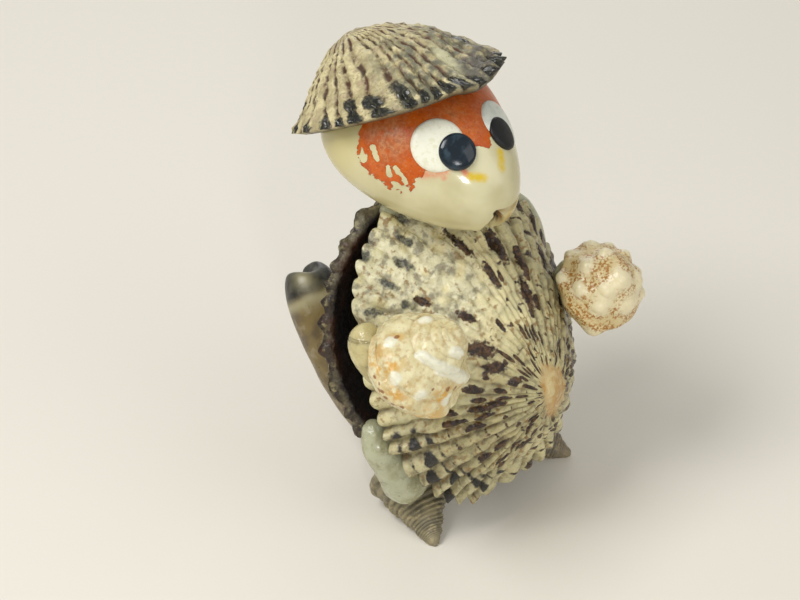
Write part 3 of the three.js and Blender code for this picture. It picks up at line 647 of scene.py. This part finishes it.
spots = blotch(grid, [
    (-9.6, 16.2, 0.8, 0.4, 125), (-10.2, 14.4, 0.7, 0.5, 120), (-7.6, 12.7, 0.8, 0.5, 125),
    (-9.9, 11.1, 0.9, 0.45, 135), (-9.5, 8.6, 0.6, 0.5, 130), (-12.3, 8.6, 0.6, 0.5, 130),
    (-12.6, 13.1, 0.6, 0.4, 130), (-13.4, 7.0, 0.6, 0.4, 140), (-6.0, 15.0, 0.9, 0.4, 118),
    (-4.6, 16.9, 0.8, 0.5, 110), (-11.2, 6.1, 0.7, 0.4, 140)])
ends = within(grid, 228, 44) * rise(0.7, 0.82, grid.share)
patch = blotch(grid, [(1.5, -6.8, 3.7, 2.0, 102)])
orange = np.maximum(0.4 * rise(0.8, 0.58, patch), near(grid.smooth, (2.6, -8.6, chest.height), 1.5))
lift = (lift + 0.03 * rise(0.5, 0.8, dash)) * (1 - 0.95 * rise(0.35, 0.6, patch))
furrow = np.maximum(rise(0.9, 0.1, grid.crest), 0.12 * lower * rise(0.1, -0.3, beads))
furrow *= (1 - 0.4 * lumpy) * (1 - 0.55 * smoother) * rise(0.05, 0.5, grid.share)
# How far the chest darkens: most towards the lower rim and on the left side, as painted shade, and round
# the apex
weathered = np.clip(0.2 + lower + 0.4 * left_side + rise(0.55, 0.3, grid.share), 0, 1)
rings = limpet_rings(grid, chest, lift, tongue=0.6 + 0.8 * dice(grid.rib, 8))
skin("chest_shell", rings, chest_place, "chest", chest_paint(),
     furrow=furrow * (1 - rise(0.35, 0.5, patch)) * outer_side,
     weathered=weathered * (1 - 0.8 * smoother),
     dash=dash * (1 - ends) * outer_side,
     night=dashes(grid, chest, seed=31, amount=0.8, wide=0.4, crowd=2.2) * ends * outer_side,
     lime=np.maximum(lumpy, 0.8 * ends) * outer_side,
     spots=spots * outer_side,
     yellow=within(grid, 110, 60) * rise(0.98, 0.8, grid.share) * rise(0.2, 0.5, grid.share) * outer_side,
     worn=patch * outer_side,
     orange=orange * outer_side,
     inside=grid.inside)

# Back: scales along its ribs

grid = limpet_grid(back, per_rib=16, outer_rings=110, inner_rings=40)
lift = back.rib_height * grid.strength * grid.crest * grid.share ** 0.8
scales = growth(grid, steps=11, seed=12, scallop=0.02, uneven=0.06) * (0.3 + 0.7 * grid.crest)
lift += 0.42 * scales * rise(0.15, 0.4, grid.share)
lift += 0.22 * lumps(grid.smooth, 1.6, 13) * grid.share + 0.12 * lumps(grid.smooth, 0.6, 14)
scallops = np.abs(np.cos(TURN * grid.beside)) ** 1.5
grid.crest = blend(grid.crest, scallops, 0.7 * rise(0.85, 0.95, grid.share))
rings = limpet_rings(grid, back, lift, tongue=0.5 + 0.6 * dice(grid.rib, 18))
skin("back_shell", rings, back_place, "back", back_paint(),
     furrow=rise(0.45, 0.1, grid.crest) * (1 - grid.inside),
     pale=np.maximum(within(grid, 80, 44), rise(0.45, 0.2, grid.share)),
     rim=rise(0.84, 0.97, grid.share) * (1 - grid.inside),
     inside=grid.inside)

# Hat: narrow ribs and black beads between them at the rim

tip_at = 118
grid = limpet_grid(hat, per_rib=20, outer_rings=110, inner_rings=26)
outer_side = 1 - grid.inside
front = within(grid, 100, 66)
tip = within(grid, tip_at, 20) * rise(0.84, 0.92, grid.share)
aside = (0.5 - np.abs(grid.beside)) / (0.3 + 0.08 * dice(grid.gap, 29))
bead = np.zeros(grid.share.shape)
for row, at, often in ((0, 0.985, 0.95), (1, 0.9, 0.4), (2, 0.8, 0.15)):
    along = grid.share - at - 0.03 * (dice(grid.gap, row, 26) - 0.5)
    along /= 0.045 + 0.03 * dice(grid.gap, row, 30)
    chosen = dice(grid.gap, row, 27) < often
    bead = np.maximum(bead, np.clip(1 - 0.5 * np.hypot(along, aside), 0, 1) * chosen)
lift = hat.rib_height * grid.strength * grid.crest * grid.share ** 0.8 * rise(0.04, 0.3, grid.share)
lift = lift * (1 + 0.45 * lumps(grid.smooth, 1.6, 21)) + 0.4 * rise(0.4, 0.95, bead)
lift += tip * (0.3 + 0.7 * lumps(grid.smooth, 1.0, 31))
lift += 0.2 * growth(grid, steps=10, seed=22, scallop=0.012, uneven=0.07) * rise(0.2, 0.5, grid.share)
lift += (0.1 + 0.16 * front) * lumps(grid.smooth, 1.2, 23) + 0.1 * lumps(grid.smooth, 0.5, 24)
rings = limpet_rings(grid, hat, lift, tongue=1.0 + 1.2 * dice(grid.rib, 28))
rings[..., 2] -= 0.8 * within(grid, tip_at, 40) * rise(0.6, 1.0, grid.share)
skin("hat_shell", rings, hat_place, "hat", hat_paint(),
     furrow=rise(0.8, 0.35, grid.crest) * outer_side,
     grey=front * rise(0.3, 0.7, grid.share) * outer_side,
     pale=blotch(grid, [(-1.4, 9.4, 2.4, 0.8, 70)]) * outer_side,
     bead=bead * outer_side,
     tip=within(grid, tip_at, 26) * rise(0.78, 0.9, grid.share) * outer_side,
     inside=grid.inside)


# Head: a cowrie with its toothed slit below and its notch as the mouth

def slit_middle(along):
    """How far aside the slit's middle lies, at a place in millimetres along the head."""
    return slit.sway * np.sin(along / slit.reach * 2.4)


def head_half_width(along):
    """Half the head's width; along runs from -1 at the nose to 1 at the nape."""
    return head.width / 2 * np.sqrt(1 - along ** 2) ** head.around * (1 + head.taper * along)


def head_crown(along):
    """The height of the head's crown over its middle line."""
    return head.crown * np.sqrt(1 - along ** 2) ** head.around * (1 + head.taper * along / 2)


def cowrie_point(along, angle):
    """A point of the head's surface; the angle runs from the left side over the crown."""
    up = np.sin(angle)
    below = head.base * (np.sqrt(1 - along ** 2) * np.maximum(-up, 0)) ** head.under
    return np.stack([
        head_half_width(along) * np.cos(angle),
        head.length / 2 * along,
        head_crown(along) * np.maximum(up, 0) - below * (1 + head.taper * along / 2),
    ], axis=-1)


def head_rings(count, over):
    """Rings from the nose to the nape, with points close together at the slit's lips."""
    along = -np.cos(np.linspace(0.03, math.pi - 0.03, count))[:, None]
    middle = slit_middle(along * head.length / 2)
    half_width = head_half_width(along)
    # How far the points lie from the slit's middle line, in half widths of the slit
    steps = np.concatenate([np.linspace(0, 0.8, 5), np.linspace(0.86, 1.2, 8), np.linspace(1.3, 3.3, 12)])
    offset = np.concatenate([-steps[:0:-1], steps]) * slit.half
    room = np.minimum(1, 0.85 * (half_width - np.abs(middle) * 0.3) / offset[-1])
    across = np.clip((middle * np.minimum(1, half_width / 4) + offset * room) / half_width, -0.97, 0.97)
    lowest = -np.arccos(across)
    share = np.linspace(0, 1, over + 2)[None, 1:-1]
    arc = lowest[:, -1:] + (lowest[:, :1] + TURN - lowest[:, -1:]) * share
    angle = np.concatenate([lowest, arc], axis=1)
    rings = cowrie_point(np.broadcast_to(along, angle.shape), angle)
    beside = np.full(angle.shape, 9.0)
    beside[:, :offset.size] = np.abs(offset)
    return rings, beside, room


rings, beside, room = head_rings(count=210, over=240)
ridge = np.maximum(0, np.cos(TURN * rings[..., 1] / slit.pitch))
edge = slit.half * (1 - slit.tooth * ridge)
thick = (head.crown + head.base) * np.sqrt(np.maximum(0, 1 - (rings[..., 1] / head.length * 2) ** 2))
depth = np.minimum(slit.depth, 0.5 * thick) * rise(1.0, 0.84, beside / edge) * room
tooth_height = 0.2 * ridge * ridge_at(beside, slit.half, slit.lip) * (beside > edge * 0.9)
rings[..., 2] += depth - tooth_height

# The mouth: what lies inside an egg at the slit's end is pushed to the egg's far wall
mouth_middle = np.array([notch.aside, -head.length / 2, -notch.below])
mouth_radii = np.array([notch.half_width, notch.depth, notch.half_height])
push = unit([0.0, 1.0, 0.35])
inward = (rings - mouth_middle) / mouth_radii
reach = push / mouth_radii
half_b = inward @ reach
square_sum = (inward ** 2).sum(axis=-1)
root = np.sqrt(np.maximum(half_b ** 2 - (reach @ reach) * (square_sum - 1), 0))
pushed = np.where(square_sum < 1, (root - half_b) / (reach @ reach), 0)
rings += pushed[..., None] * push
crease = stroke(rings, (-1.2, -12.7, 0.75), (2.4, -12.2, 0.5), 0.4)
rings[..., 1] += 0.9 * rise(0.2, 0.9, crease)
lip = near(rings, mouth_middle, mouth_radii * [2.2, 1.2, 1.2])
for _ in range(4):  # rounds of smoothing
    around = (np.roll(rings, 1, axis=1) + np.roll(rings, -1, axis=1)) / 2
    beyond = np.concatenate([rings[:1], (rings[2:] + rings[:-2]) / 2, rings[-1:]])
    rings = blend(rings, (around + beyond) / 2, 0.8 * rise(0.1, 0.5, lip)[..., None])

# Where the orange ends: the distance in millimetres from each edge, torn by noise and scratched
across, along, high = np.moveaxis(rings, -1, 0)
back_edge = (2.35 + (high - 3.13) * 0.63 - along) * 0.85
front_edge = along - np.minimum(-6.0, -8.3 + np.abs(across - 0.2))
low_edge = (high - 0.55 - 0.3 * np.abs(along + 2.8)) * 0.9
side_edge = along + 5.1 + 6 * rise(4.1, 5.2, high)
torn = 0.45 * lumps(rings, 1.3, 31) + 0.45 * lumps(rings, 0.6, 32) + 0.35 * lumps(rings, 0.3, 33)
painted = np.minimum(np.minimum(back_edge + 0.5 * torn, front_edge + 0.8 * torn), low_edge + 0.9 * torn)
painted = np.minimum(painted, side_edge + 0.8 * torn)
scratches = [((-9.0, 0.6, 3.9), (-9.0, -0.5, 2.9), 0.33), ((-9.5, 1.6, 2.6), (-9.6, 1.1, 1.9), 0.605),
             ((-8.8, -1.9, 2.9), (-8.7, -2.5, 2.0), 0.286), ((-8.3, -2.7, 3.2), (-7.8, -4.1, 2.2), 0.374),
             ((-8.6, -3.2, 1.3), (-8.0, -4.6, 1.1), 0.396), ((8.7, 0.9, 3.4), (8.6, 0.2, 2.6), 0.44),
             ((8.2, -2.8, 2.4), (7.8, -3.4, 1.5), 0.44)]
painted = np.minimum(painted, 0.9 * (1 - 2 * strokes(rings, *scratches)) + torn)
flecks = 1.3 * lumps(rings, 0.5, 34) - 0.75 - 0.8 * np.abs(low_edge + 0.3)
painted = np.maximum(painted, np.minimum(flecks, np.minimum(side_edge, back_edge)))
salmon = strokes(rings,
                 ((-5.5, -6.4, 4.6), (-5.3, -7.2, 4.0), 0.3),
                 ((-3.7, -8.0, 5.2), (-3.3, -8.7, 4.7), 0.28))
salmon = np.maximum(salmon, 0.7 * stroke(rings, (-7.0, -5.4, 3.7), (-5.0, -7.0, 4.6), 0.5))
yellow = strokes(rings,
                 ((-3.1, -9.2, 4.7), (-1.9, -9.9, 4.45), 0.42),
                 ((1.4, -8.7, 5.6), (0.6, -10.0, 4.7), 0.46))
# Where the paint turns paler: a spot high on the right side, one on the crown, and a little more the higher
# up; partly dust, partly a painted sheen of light
dust = near(rings, (-8.2, -0.4, 5.2), 2.6) + 0.7 * near(rings, (-1.5, -4.0, 8.0), 2.2)
dust += 0.2 * rise(3, 6, high)
# The lip line, and painted shade in the crease and on the notch's walls
lip_line_and_shade = np.maximum(rise(0.3, 0.9, crease), rise(0.05, 0.5, pushed))
skin("head_shell", rings, head_place, "cowrie", head_paint(),
     painted=np.clip(0.5 + painted, 0, 1),
     dust=rise(0.1, 1.2, painted) * np.clip(dust, 0, 1),
     warm=np.maximum(0.5 * rise(3.5, -5, high), rise(-2, 5, along)),
     salmon=salmon,
     yellow=yellow,
     mouth=near(rings, (1.1, -12.6, -0.7), (1.7, 1.2, 1.1)),
     # brown along the lips and painted shade down the slit
     crease=np.maximum(lip_line_and_shade, 0.6 * rise(0.3, 1.6, depth)),
     # painted shadow deep in the mouth's hollow and down the slit
     throat=np.maximum(rise(0.7, 1.3, pushed), rise(1.2, 2.6, depth)))


# Eyes: stick-on discs and domed pupils, laid on the head

def eye_aim(spot):
    """The direction in which an eye at a spot of the head looks."""
    return unit(spot * [1.0, 0.45, 1.0])


def laid_on_head(spot, flat, lift):
    """Points of a flat disc, carried straight down onto the head and lifted off it again."""
    points = flat + spot
    aim = eye_aim(spot)
    for _ in range(12):  # steps towards the surface
        along = np.clip(points[..., 1] / head.length * 2, -0.999, 0.999)
        size = np.hypot(points[..., 0] / head_half_width(along), points[..., 2] / head_crown(along))
        points += aim * ((1 / size - 1) * np.linalg.norm(points * [1, 0, 1], axis=-1))[..., None]
    return points + aim * lift[..., None]


def disc(node, sizes, ahead, aside, slot, paint):
    """A round disc on the crown, with a rounded edge and a dome; aside is negative on the right."""
    along = np.array(-ahead / head.length * 2)
    spot = cowrie_point(along, np.arccos(aside / head_half_width(along)))
    aim = eye_aim(spot)
    first = unit(np.cross(aim, [0.0, 1.0, 0.0]))
    over = np.concatenate([np.linspace(0.04, 0.9, 14), np.linspace(0.92, 1, 8)])
    under = np.array([1.0, 0.6, 0.1])
    reach = sizes.radius * np.concatenate([over, under])
    flat = spokes(first, np.cross(aim, first), fine.disc_sides) * reach[:, None, None]
    high = (1 - sizes.dome) * (1 - over ** 16) + sizes.dome * np.sqrt(1 - over ** 2.4 * 0.999)
    sunk = 0.25
    lift = np.concatenate([sizes.low + sizes.thick * high, np.full(under.size, -sunk)])[:, None]
    skin(node, laid_on_head(spot, flat, lift), head_place, slot, paint)


white_eye = plain_gloss("eye_white_paint", "f1f0dc", "e6e4c8", rough=0.3, size=0.5)
grey_eye = plain_gloss("eye_grey_paint", "e4e7da", "d6dace", rough=0.3, size=0.8)
navy = plain_gloss("right_pupil_paint", "18242d", "33444f", rough=0.12, size=1.2)
black = plain_gloss("left_pupil_paint", "08080a", "101012", rough=0.4, size=1.5)
disc("right_eye_white", eye, ahead=4.6, aside=-4.5, slot="eye_white", paint=white_eye)
disc("left_eye_white", eye, ahead=5.6, aside=4.4, slot="eye_white", paint=grey_eye)
disc("right_pupil", pupil, ahead=6.5, aside=-3.2, slot="pupil_black", paint=navy)
disc("left_pupil", thin_pupil, ahead=6.9, aside=3.3, slot="pupil_black", paint=black)


# Paws and feet: shells coiled round their z axis

def coil_grid(shell, sides, spire_rings, base_rings):
    """A coiled shell before its relief, how far down its base a point is and how far along its whorl."""
    least = 0.03
    share = np.concatenate([np.linspace(least, 1, spire_rings), np.ones(base_rings)])
    share, angle = np.meshgrid(share, angles(sides), indexing="ij")
    down = np.linspace(0, math.pi / 2 - least, base_rings + 1)[1:]
    down = np.concatenate([np.zeros(spire_rings), down])[:, None] * np.ones((1, sides))
    radius = shell.radius * share ** shell.taper * np.cos(down)
    high = shell.spire * (1 - share) - shell.base * np.sin(down)
    coil = np.log(share) / math.log(shell.shrink) - angle / TURN + shell.start
    return Sizes(share=share, down=down, phase=coil % 1,
                 smooth=np.stack([radius * np.cos(angle), radius * np.sin(angle), high], axis=-1))


def whorls(grid, seam_depth, taper):
    """Whorls that swell between the seams of a coiled shell, less towards its apex."""
    return (np.sin(math.pi * grid.phase) ** 0.6 - seam_depth) * grid.share ** taper


# Right paw: a turban shell, its apex standing off its axis

grid = coil_grid(right_paw, sides=200, spire_rings=150, base_rings=50)
lean = placed((0, 0, 0), (0, right_paw.lean, 0))[0]


def leant(spot):
    """A spot of the shell standing upright, moved onto the surface of the leaning one."""
    gaps = np.linalg.norm(grid.smooth - np.array(spot) @ lean, axis=-1)
    return grid.smooth.reshape(-1, 3)[gaps.argmin()]


fade = 1 - rise(0.0, 0.5, grid.down)
coarse = lumps(grid.smooth, 2.0, 41)
whorl = whorls(grid, seam_depth=0.7, taper=0.7) * fade * (1 + 0.5 * coarse)
nodules = [(-3.2, 2.8, 2.0), (-4.5, -0.3, 1.6), (-3.2, -2.9, 1.8), (-0.4, -5.0, 1.3),
           (2.6, -4.4, 1.6), (0.5, 3.4, 3.6), (3.6, 3.4, 2.0), (4.9, -0.6, 1.6)]
node_mark = sum(near(grid.smooth, leant(spot), (1.0, 1.0, 0.9)) for spot in nodules)
ridges = [((-2.3, 0.3, 3.5), (-1.3, -1.9, 3.8), 0.45), ((-1.3, -1.9, 3.8), (1.5, -4.0, 2.6), 0.6),
          ((0.2, -1.2, 4.9), (0.9, -1.8, 4.7), 0.5)]
band = strokes(grid.smooth, *((leant(start), leant(end), half_width) for start, end, half_width in ridges))
knob = near(grid.smooth, (0.6, 0.2, right_paw.spire), 1.7)
base_lines = 0.08 * np.cos(TURN * 9 * grid.down / math.pi) * (1 - fade)
lift = 0.62 * whorl + 0.45 * node_mark + 0.3 * knob + 0.35 * rise(0.3, 0.9, band) + base_lines
lift += 0.22 * coarse + 0.16 * lumps(grid.smooth, 0.9, 44)
rings = raised(grid.smooth, lift)
rings[..., :2] += rise(-1, 6, rings[..., 2:]) * [2.2, 0.4]
dots = [(-5.5, 1.0, 0.5), (-5.2, 0.2, 0.9), (-5.7, -0.4, 0.4), (-5.4, -0.6, 0.7), (-5.4, -1.4, 0.5),
        (-5.3, -2.4, 0.3), (-4.3, -3.5, 0.6), (-4.4, -2.9, 0.9), (-2.1, -3.3, 2.4), (-0.5, -4.2, 2.3),
        (0.9, -4.7, 1.8), (-2.6, 3.0, 2.3), (-5.0, -3.6, -1.2), (-3.0, -5.2, -0.6), (3.4, -4.6, 0.8),
        (5.2, -2.4, 0.8), (5.4, 1.4, 0.9), (3.2, 4.6, 1.0)]
dot_mark = sum(near(grid.smooth, leant(spot), 0.2 + 0.16 * dice(number, 43))
               for number, spot in enumerate(dots))
stains = [((-2.9, 2.9, 2.2), 0.9), ((-4.1, 0.9, 1.9), 0.9), ((-4.9, 1.0, 1.1), 1.1),
          ((-4.7, -1.6, 1.1), 1.2), ((-0.9, -4.5, 1.9), 1.2), ((-4.8, 3.1, 0.4), 1.6),
          ((4.6, -2.6, 0.6), 1.8), ((-2.0, -4.8, -0.6), 2.2)]
skin("right_paw_shell", rings, right_paw_place, "paw", right_paw_paint(),
     groove=rise(0.14, 0.0, np.minimum(grid.phase, 1 - grid.phase)) * fade,
     white=np.clip(np.maximum(0.8 * node_mark, 1.2 * band), 0, 1),
     stain=np.clip(sum(near(grid.smooth, leant(spot), size) for spot, size in stains), 0, 1),
     dots=np.clip(dot_mark, 0, 1))

# Left paw: a drupe shell with smooth knobs and its lip below

grid = coil_grid(left_paw, sides=180, spire_rings=130, base_rings=50)
fade = 1 - rise(0.3, 0.9, grid.down)
knobs = [((-2.2, 2.8, 2.7), 1.15), ((0.4, 2.9, 3.5), 1.15), ((4.0, 1.6, 1.8), 1.0), ((-4.2, 0.9, 1.7), 1.2),
         ((-2.6, -0.9, 3.6), 1.2), ((-0.6, -0.5, 5.1), 1.4), ((-0.1, -3.5, 2.8), 1.9),
         ((-3.5, -2.2, 2.0), 1.1), ((-4.4, 3.2, 0.0), 0.9), ((2.4, -1.6, 3.8), 1.2),
         ((3.4, -3.2, 1.6), 1.2), ((4.9, -0.8, 0.6), 1.1), ((1.2, 4.8, 0.8), 1.1), ((4.0, 3.6, 0.2), 1.0),
         ((-1.6, 5.0, 0.4), 0.9)]
knob = sum(near(grid.smooth, spot, size) for spot, size in knobs)
lip = near(grid.smooth, (-3.6, -4.0, -1.2), (1.6, 1.4, 1.2))
whorl = whorls(grid, seam_depth=0.75, taper=0.7) * fade
lift = 0.75 * np.minimum(knob, 1.25) + 0.25 * whorl + 0.12 * lumps(grid.smooth, 1.2, 51) + 0.9 * lip - 0.15
skin("left_paw_shell", raised(grid.smooth, lift), left_paw_place, "paw", left_paw_paint(),
     knob=np.clip(knob + lip, 0, 1))


# Feet: top shells with fine cords

def top_shell(node, place, paint, seed):
    """A foot: a cone of whorls with cords round them and under its base, and a worn apex."""
    grid = coil_grid(foot, sides=160, spire_rings=170, base_rings=36)
    fade = 1 - rise(0.2, 0.8, grid.down)
    whorl = whorls(grid, seam_depth=0.7, taper=1) * fade
    cords = np.cos(TURN * (4 * grid.phase + 0.15 * lumps(grid.smooth, 2, seed)))
    under = np.cos(TURN * 10 * grid.down / math.pi)
    small = np.clip(grid.share * 1.5, 0.2, 1)
    lift = 0.5 * whorl + 0.13 * cords * fade * small + 0.1 * under * (1 - fade)
    lift += 0.14 * lumps(grid.smooth, 1.3, seed + 1) + 0.06 * lumps(grid.smooth, 0.5, seed + 2)
    worn = 1 - rise(0.02, 0.12, grid.share)
    rings = raised(grid.smooth, lift)
    rings[..., 2] -= 0.5 * worn
    skin(node, rings, place, "foot", paint,
         groove=rise(0.1, -0.7, cords) * fade,
         tip=rise(0.3, 0.05, grid.share))


top_shell("right_foot_shell", right_foot_place, foot_paint("right_foot_paint", "958a69", "787058"), seed=61)
top_shell("left_foot_shell", left_foot_place, foot_paint("left_foot_paint", "7a7160", "8a7a62"), seed=71)

# Tail: an olive shell with its slit and its notch. The outline is in shares of its radius and length

outline = np.array([(0, 0), (0.3, 0.05), (0.66, 0.17), (0.97, 0.4),
                    (0.98, 0.64), (0.82, 0.85), (0.5, 0.965), (0, 1)])


def through(values, at):
    """A smooth curve through evenly spaced values."""
    last = len(values) - 2
    number = at * (len(values) - 1)
    left = np.minimum(np.floor(number), last).astype(int)
    part = number - left
    padded = np.concatenate([[2 * values[0] - values[1]], values, [2 * values[-1] - values[-2]]])
    before, start, end, after = (padded[left + step] for step in range(4))
    return 0.5 * (2 * start + (end - before) * part + (2 * before - 5 * start + 4 * end - after) * part ** 2
                  + (3 * start - before - 3 * end + after) * part ** 3)


along = np.linspace(0.985, 0.015, fine.tail_rings)
angle = angles(fine.tail_sides)
out = through(outline[:, 0], along)[:, None] * tail.radius
high = through(outline[:, 1], along)[:, None] * tail.length
rings = np.stack([out * np.cos(angle), out * np.sin(angle) * tail.flatten, high + 0 * angle], axis=-1)
in_groove = np.exp(-(rings[..., 0] / tail.groove) ** 4) * (rings[..., 1] > 0) * rise(2, 5, rings[..., 2])
cut = near(rings, (0.3, -0.6, tail.length + 0.3), (tail.notch * 0.8, 2.6, tail.notch))
rings = raised(rings, 0.06 * lumps(rings, 2.5, 81) - tail.groove_depth * in_groove)
rings[..., 2] -= 2.0 * cut
height = rings[..., 2] + 0.5 * lumps(rings, 2, 82)
skin("tail_shell", rings, tail_place, "tail", tail_paint(),
     tip=rise(25.4, 26.6, height),
     ring=ridge_at(height, 25.2, 0.8) * 0.8,
     beige=near(rings, (-1.6, -2.0, 27.6), (1.0, 1.4, 1.4)))


# Glue

def bead(node, spine, radii, paint, seed):
    """A run of glue along a few points, thick and thin as its radii say, with round ends."""
    spine = np.array(spine, dtype=float)
    at = np.linspace(0, 1, fine.bead_rings)
    middle = np.stack([through(spine[:, axis], at) for axis in range(3)], axis=-1)
    radius = through(np.array(radii, dtype=float), at) * np.clip(1 - (2 * at - 1) ** 6, 0.004, 1) ** 0.5
    aim = unit(np.gradient(middle, axis=0))
    first = unit(np.cross(aim, [0.31, 0.2, 0.93]))  # a direction that no bead has
    around = spokes(first, np.cross(aim, first), fine.bead_sides)
    rings = middle[:, None] + around * radius[:, None, None]
    rings += around * (radius[:, None] * 0.12 * lumps(rings, 2.4, seed))[..., None]
    skin(node, rings, figure_place, "glue", paint)


def boxed_bead(node, paint, seed):
    """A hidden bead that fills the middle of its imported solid's box."""
    low, high = (np.array(corner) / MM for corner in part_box(node))
    half = (high - low) / 2 * 0.94
    spine = [(low + high) / 2 + half * [side, 0, 0] for side in (-0.9, 0, 0.9)]
    size = min(half[1], half[2])
    bead(node, spine, [size * 0.8, size, size * 0.8], paint, seed)


glue = glue_paint("glue_paint", "c6c7a8", "aeac88")
cream_glue = glue_paint("cream_glue_paint", "dccf9a", "c6b883")
for seed, node in ((91, "hat_glue"), (92, "neck_glue"), (93, "tail_glue")):
    boxed_bead(node, glue, seed)
bead("right_foot_glue",
     [(-13.3, -4.5, 16.8), (-13.6, -6.0, 13.9), (-12.1, -7.0, 11.0), (-10.8, -7.5, 7.9), (-9.7, -7.5, 5.6)],
     [1.7, 2.0, 2.4, 3.0, 2.6], glue, seed=94)
bead("left_foot_glue", [(15.2, -4.2, 15), (14.2, -5.4, 12), (12.4, -6.6, 9), (10.6, -7.6, 6.6)],
     [1.2, 2.0, 3.0, 2.2], glue, seed=95)
bead("right_paw_glue",
     [(-15, -6.8, 33.6), (-16.2, -7.2, 31.8), (-15.6, -8.4, 29.4), (-14, -9.8, 27.2), (-11.6, -11, 26)],
     [1.2, 2.2, 2.2, 2.4, 2.4], cream_glue, seed=96)
bead("left_paw_glue", [(12.0, -9.0, 27.6), (14.0, -11.0, 26.6), (15.6, -13.0, 25.6)],
     [2.6, 3.2, 3.0], glue, seed=97)

# Glue that swells out of the seam between the two body shells, on the left side

along, turn = np.meshgrid(np.linspace(0, 1, fine.seam_rings), angles(fine.seam_sides), indexing="ij")
angle = np.radians(blend(seam.start, seam.end, along))
swell = np.sin(math.pi * blend(0.03, 0.97, along)) ** 0.5
top = chest.arch * np.cos(angle) ** 2 - seam.overlap
bottom = seam.overlap - seam.gap - back.arch * np.cos(angle) ** 2
rim = limpet_point(chest, 1.0, angle)
level = unit((rim - limpet_point(chest, 0.9, angle)) * [1, 1, 0])
rings = rim + level * (swell * blend(-seam.inside, seam.outside, (1 + np.cos(turn)) / 2))[..., None]
rings[..., 2] = blend(bottom, top, (1 + swell * np.sin(turn)) / 2)
rings += level * (0.25 * swell * lumps(rings, 2.2, 98))[..., None]
skin("seam_glue", rings, chest_place, "glue", glue)


# Floor, light and camera, in metres, watts and degrees

photo = Sizes(azimuth=-42, elevation=38, place=(-0.14154, -0.152061, 0.187348), lens=99, sensor=36)
studio = Sizes(floor=1.5, centre=(0, 0, 0.028), world="fbfaf6", world_strength=0.36)
sideways = math.radians(photo.azimuth)
upwards = math.radians(photo.elevation)
to_right = np.array([math.cos(sideways), math.sin(sideways), 0])
to_viewer = np.array([math.sin(sideways), -math.cos(sideways), math.tan(upwards)]) * math.cos(upwards)
to_top = np.cross(to_viewer, to_right)


def aimed(place, right, top, towards):
    """The matrix of a lamp or a camera: its place and its three axes."""
    return Matrix.Translation(place) @ Matrix(np.stack([right, top, towards], axis=1)).to_4x4()


def lamp(name, direction, distance, size, power):
    """A soft square lamp; its direction from the figure is told to the right, the top and the viewer."""
    data = bpy.data.lights.new(name, "AREA")
    data.size = size
    data.energy = power
    away = unit(np.array(direction) @ np.array([to_right, to_top, to_viewer]))
    right = unit(np.cross(away, [0.0, 0.31, 1.0]))  # a direction that no lamp is in
    place = studio.centre + distance * away
    added(name, data).matrix_world = aimed(place, right, np.cross(away, right), away)


reach = studio.floor
floor_mesh = bpy.data.meshes.new("floor")
floor_mesh.from_pydata([(-reach, -reach, 0), (reach, -reach, 0), (reach, reach, 0), (-reach, reach, 0)],
                       [], [(0, 1, 2, 3)])
floor_paint = Paint("floor_paint")
floor_paint.base = "e9e4d8"
floor_mesh.materials.append(floor_paint.done(roughness=0.7))
floor = added("floor", floor_mesh)

lamp("key", (-0.75, 0.75, 1), distance=0.42, size=0.2, power=1.15)
lamp("fill", (1.1, 0.3, 1), distance=0.45, size=0.3, power=0.35)
lamp("glint", (0.12, -0.3, 1), distance=0.45, size=0.05, power=0.3)
lamp("back", (0, 1.6, -1), distance=0.5, size=0.35, power=0.5)

world = bpy.data.worlds.new("studio")
world.use_nodes = True
backdrop = world.node_tree.nodes["Background"]
backdrop.inputs["Color"].default_value = colour(studio.world)
backdrop.inputs["Strength"].default_value = studio.world_strength
bpy.context.scene.world = world

camera_data = bpy.data.cameras.new("camera")
camera_data.lens = photo.lens
camera_data.sensor_width = photo.sensor
camera = added("camera", camera_data)
camera.matrix_world = aimed(photo.place, to_right, to_top, to_viewer)
bpy.context.scene.camera = camera
bpy.context.scene.view_settings.view_transform = "Standard"
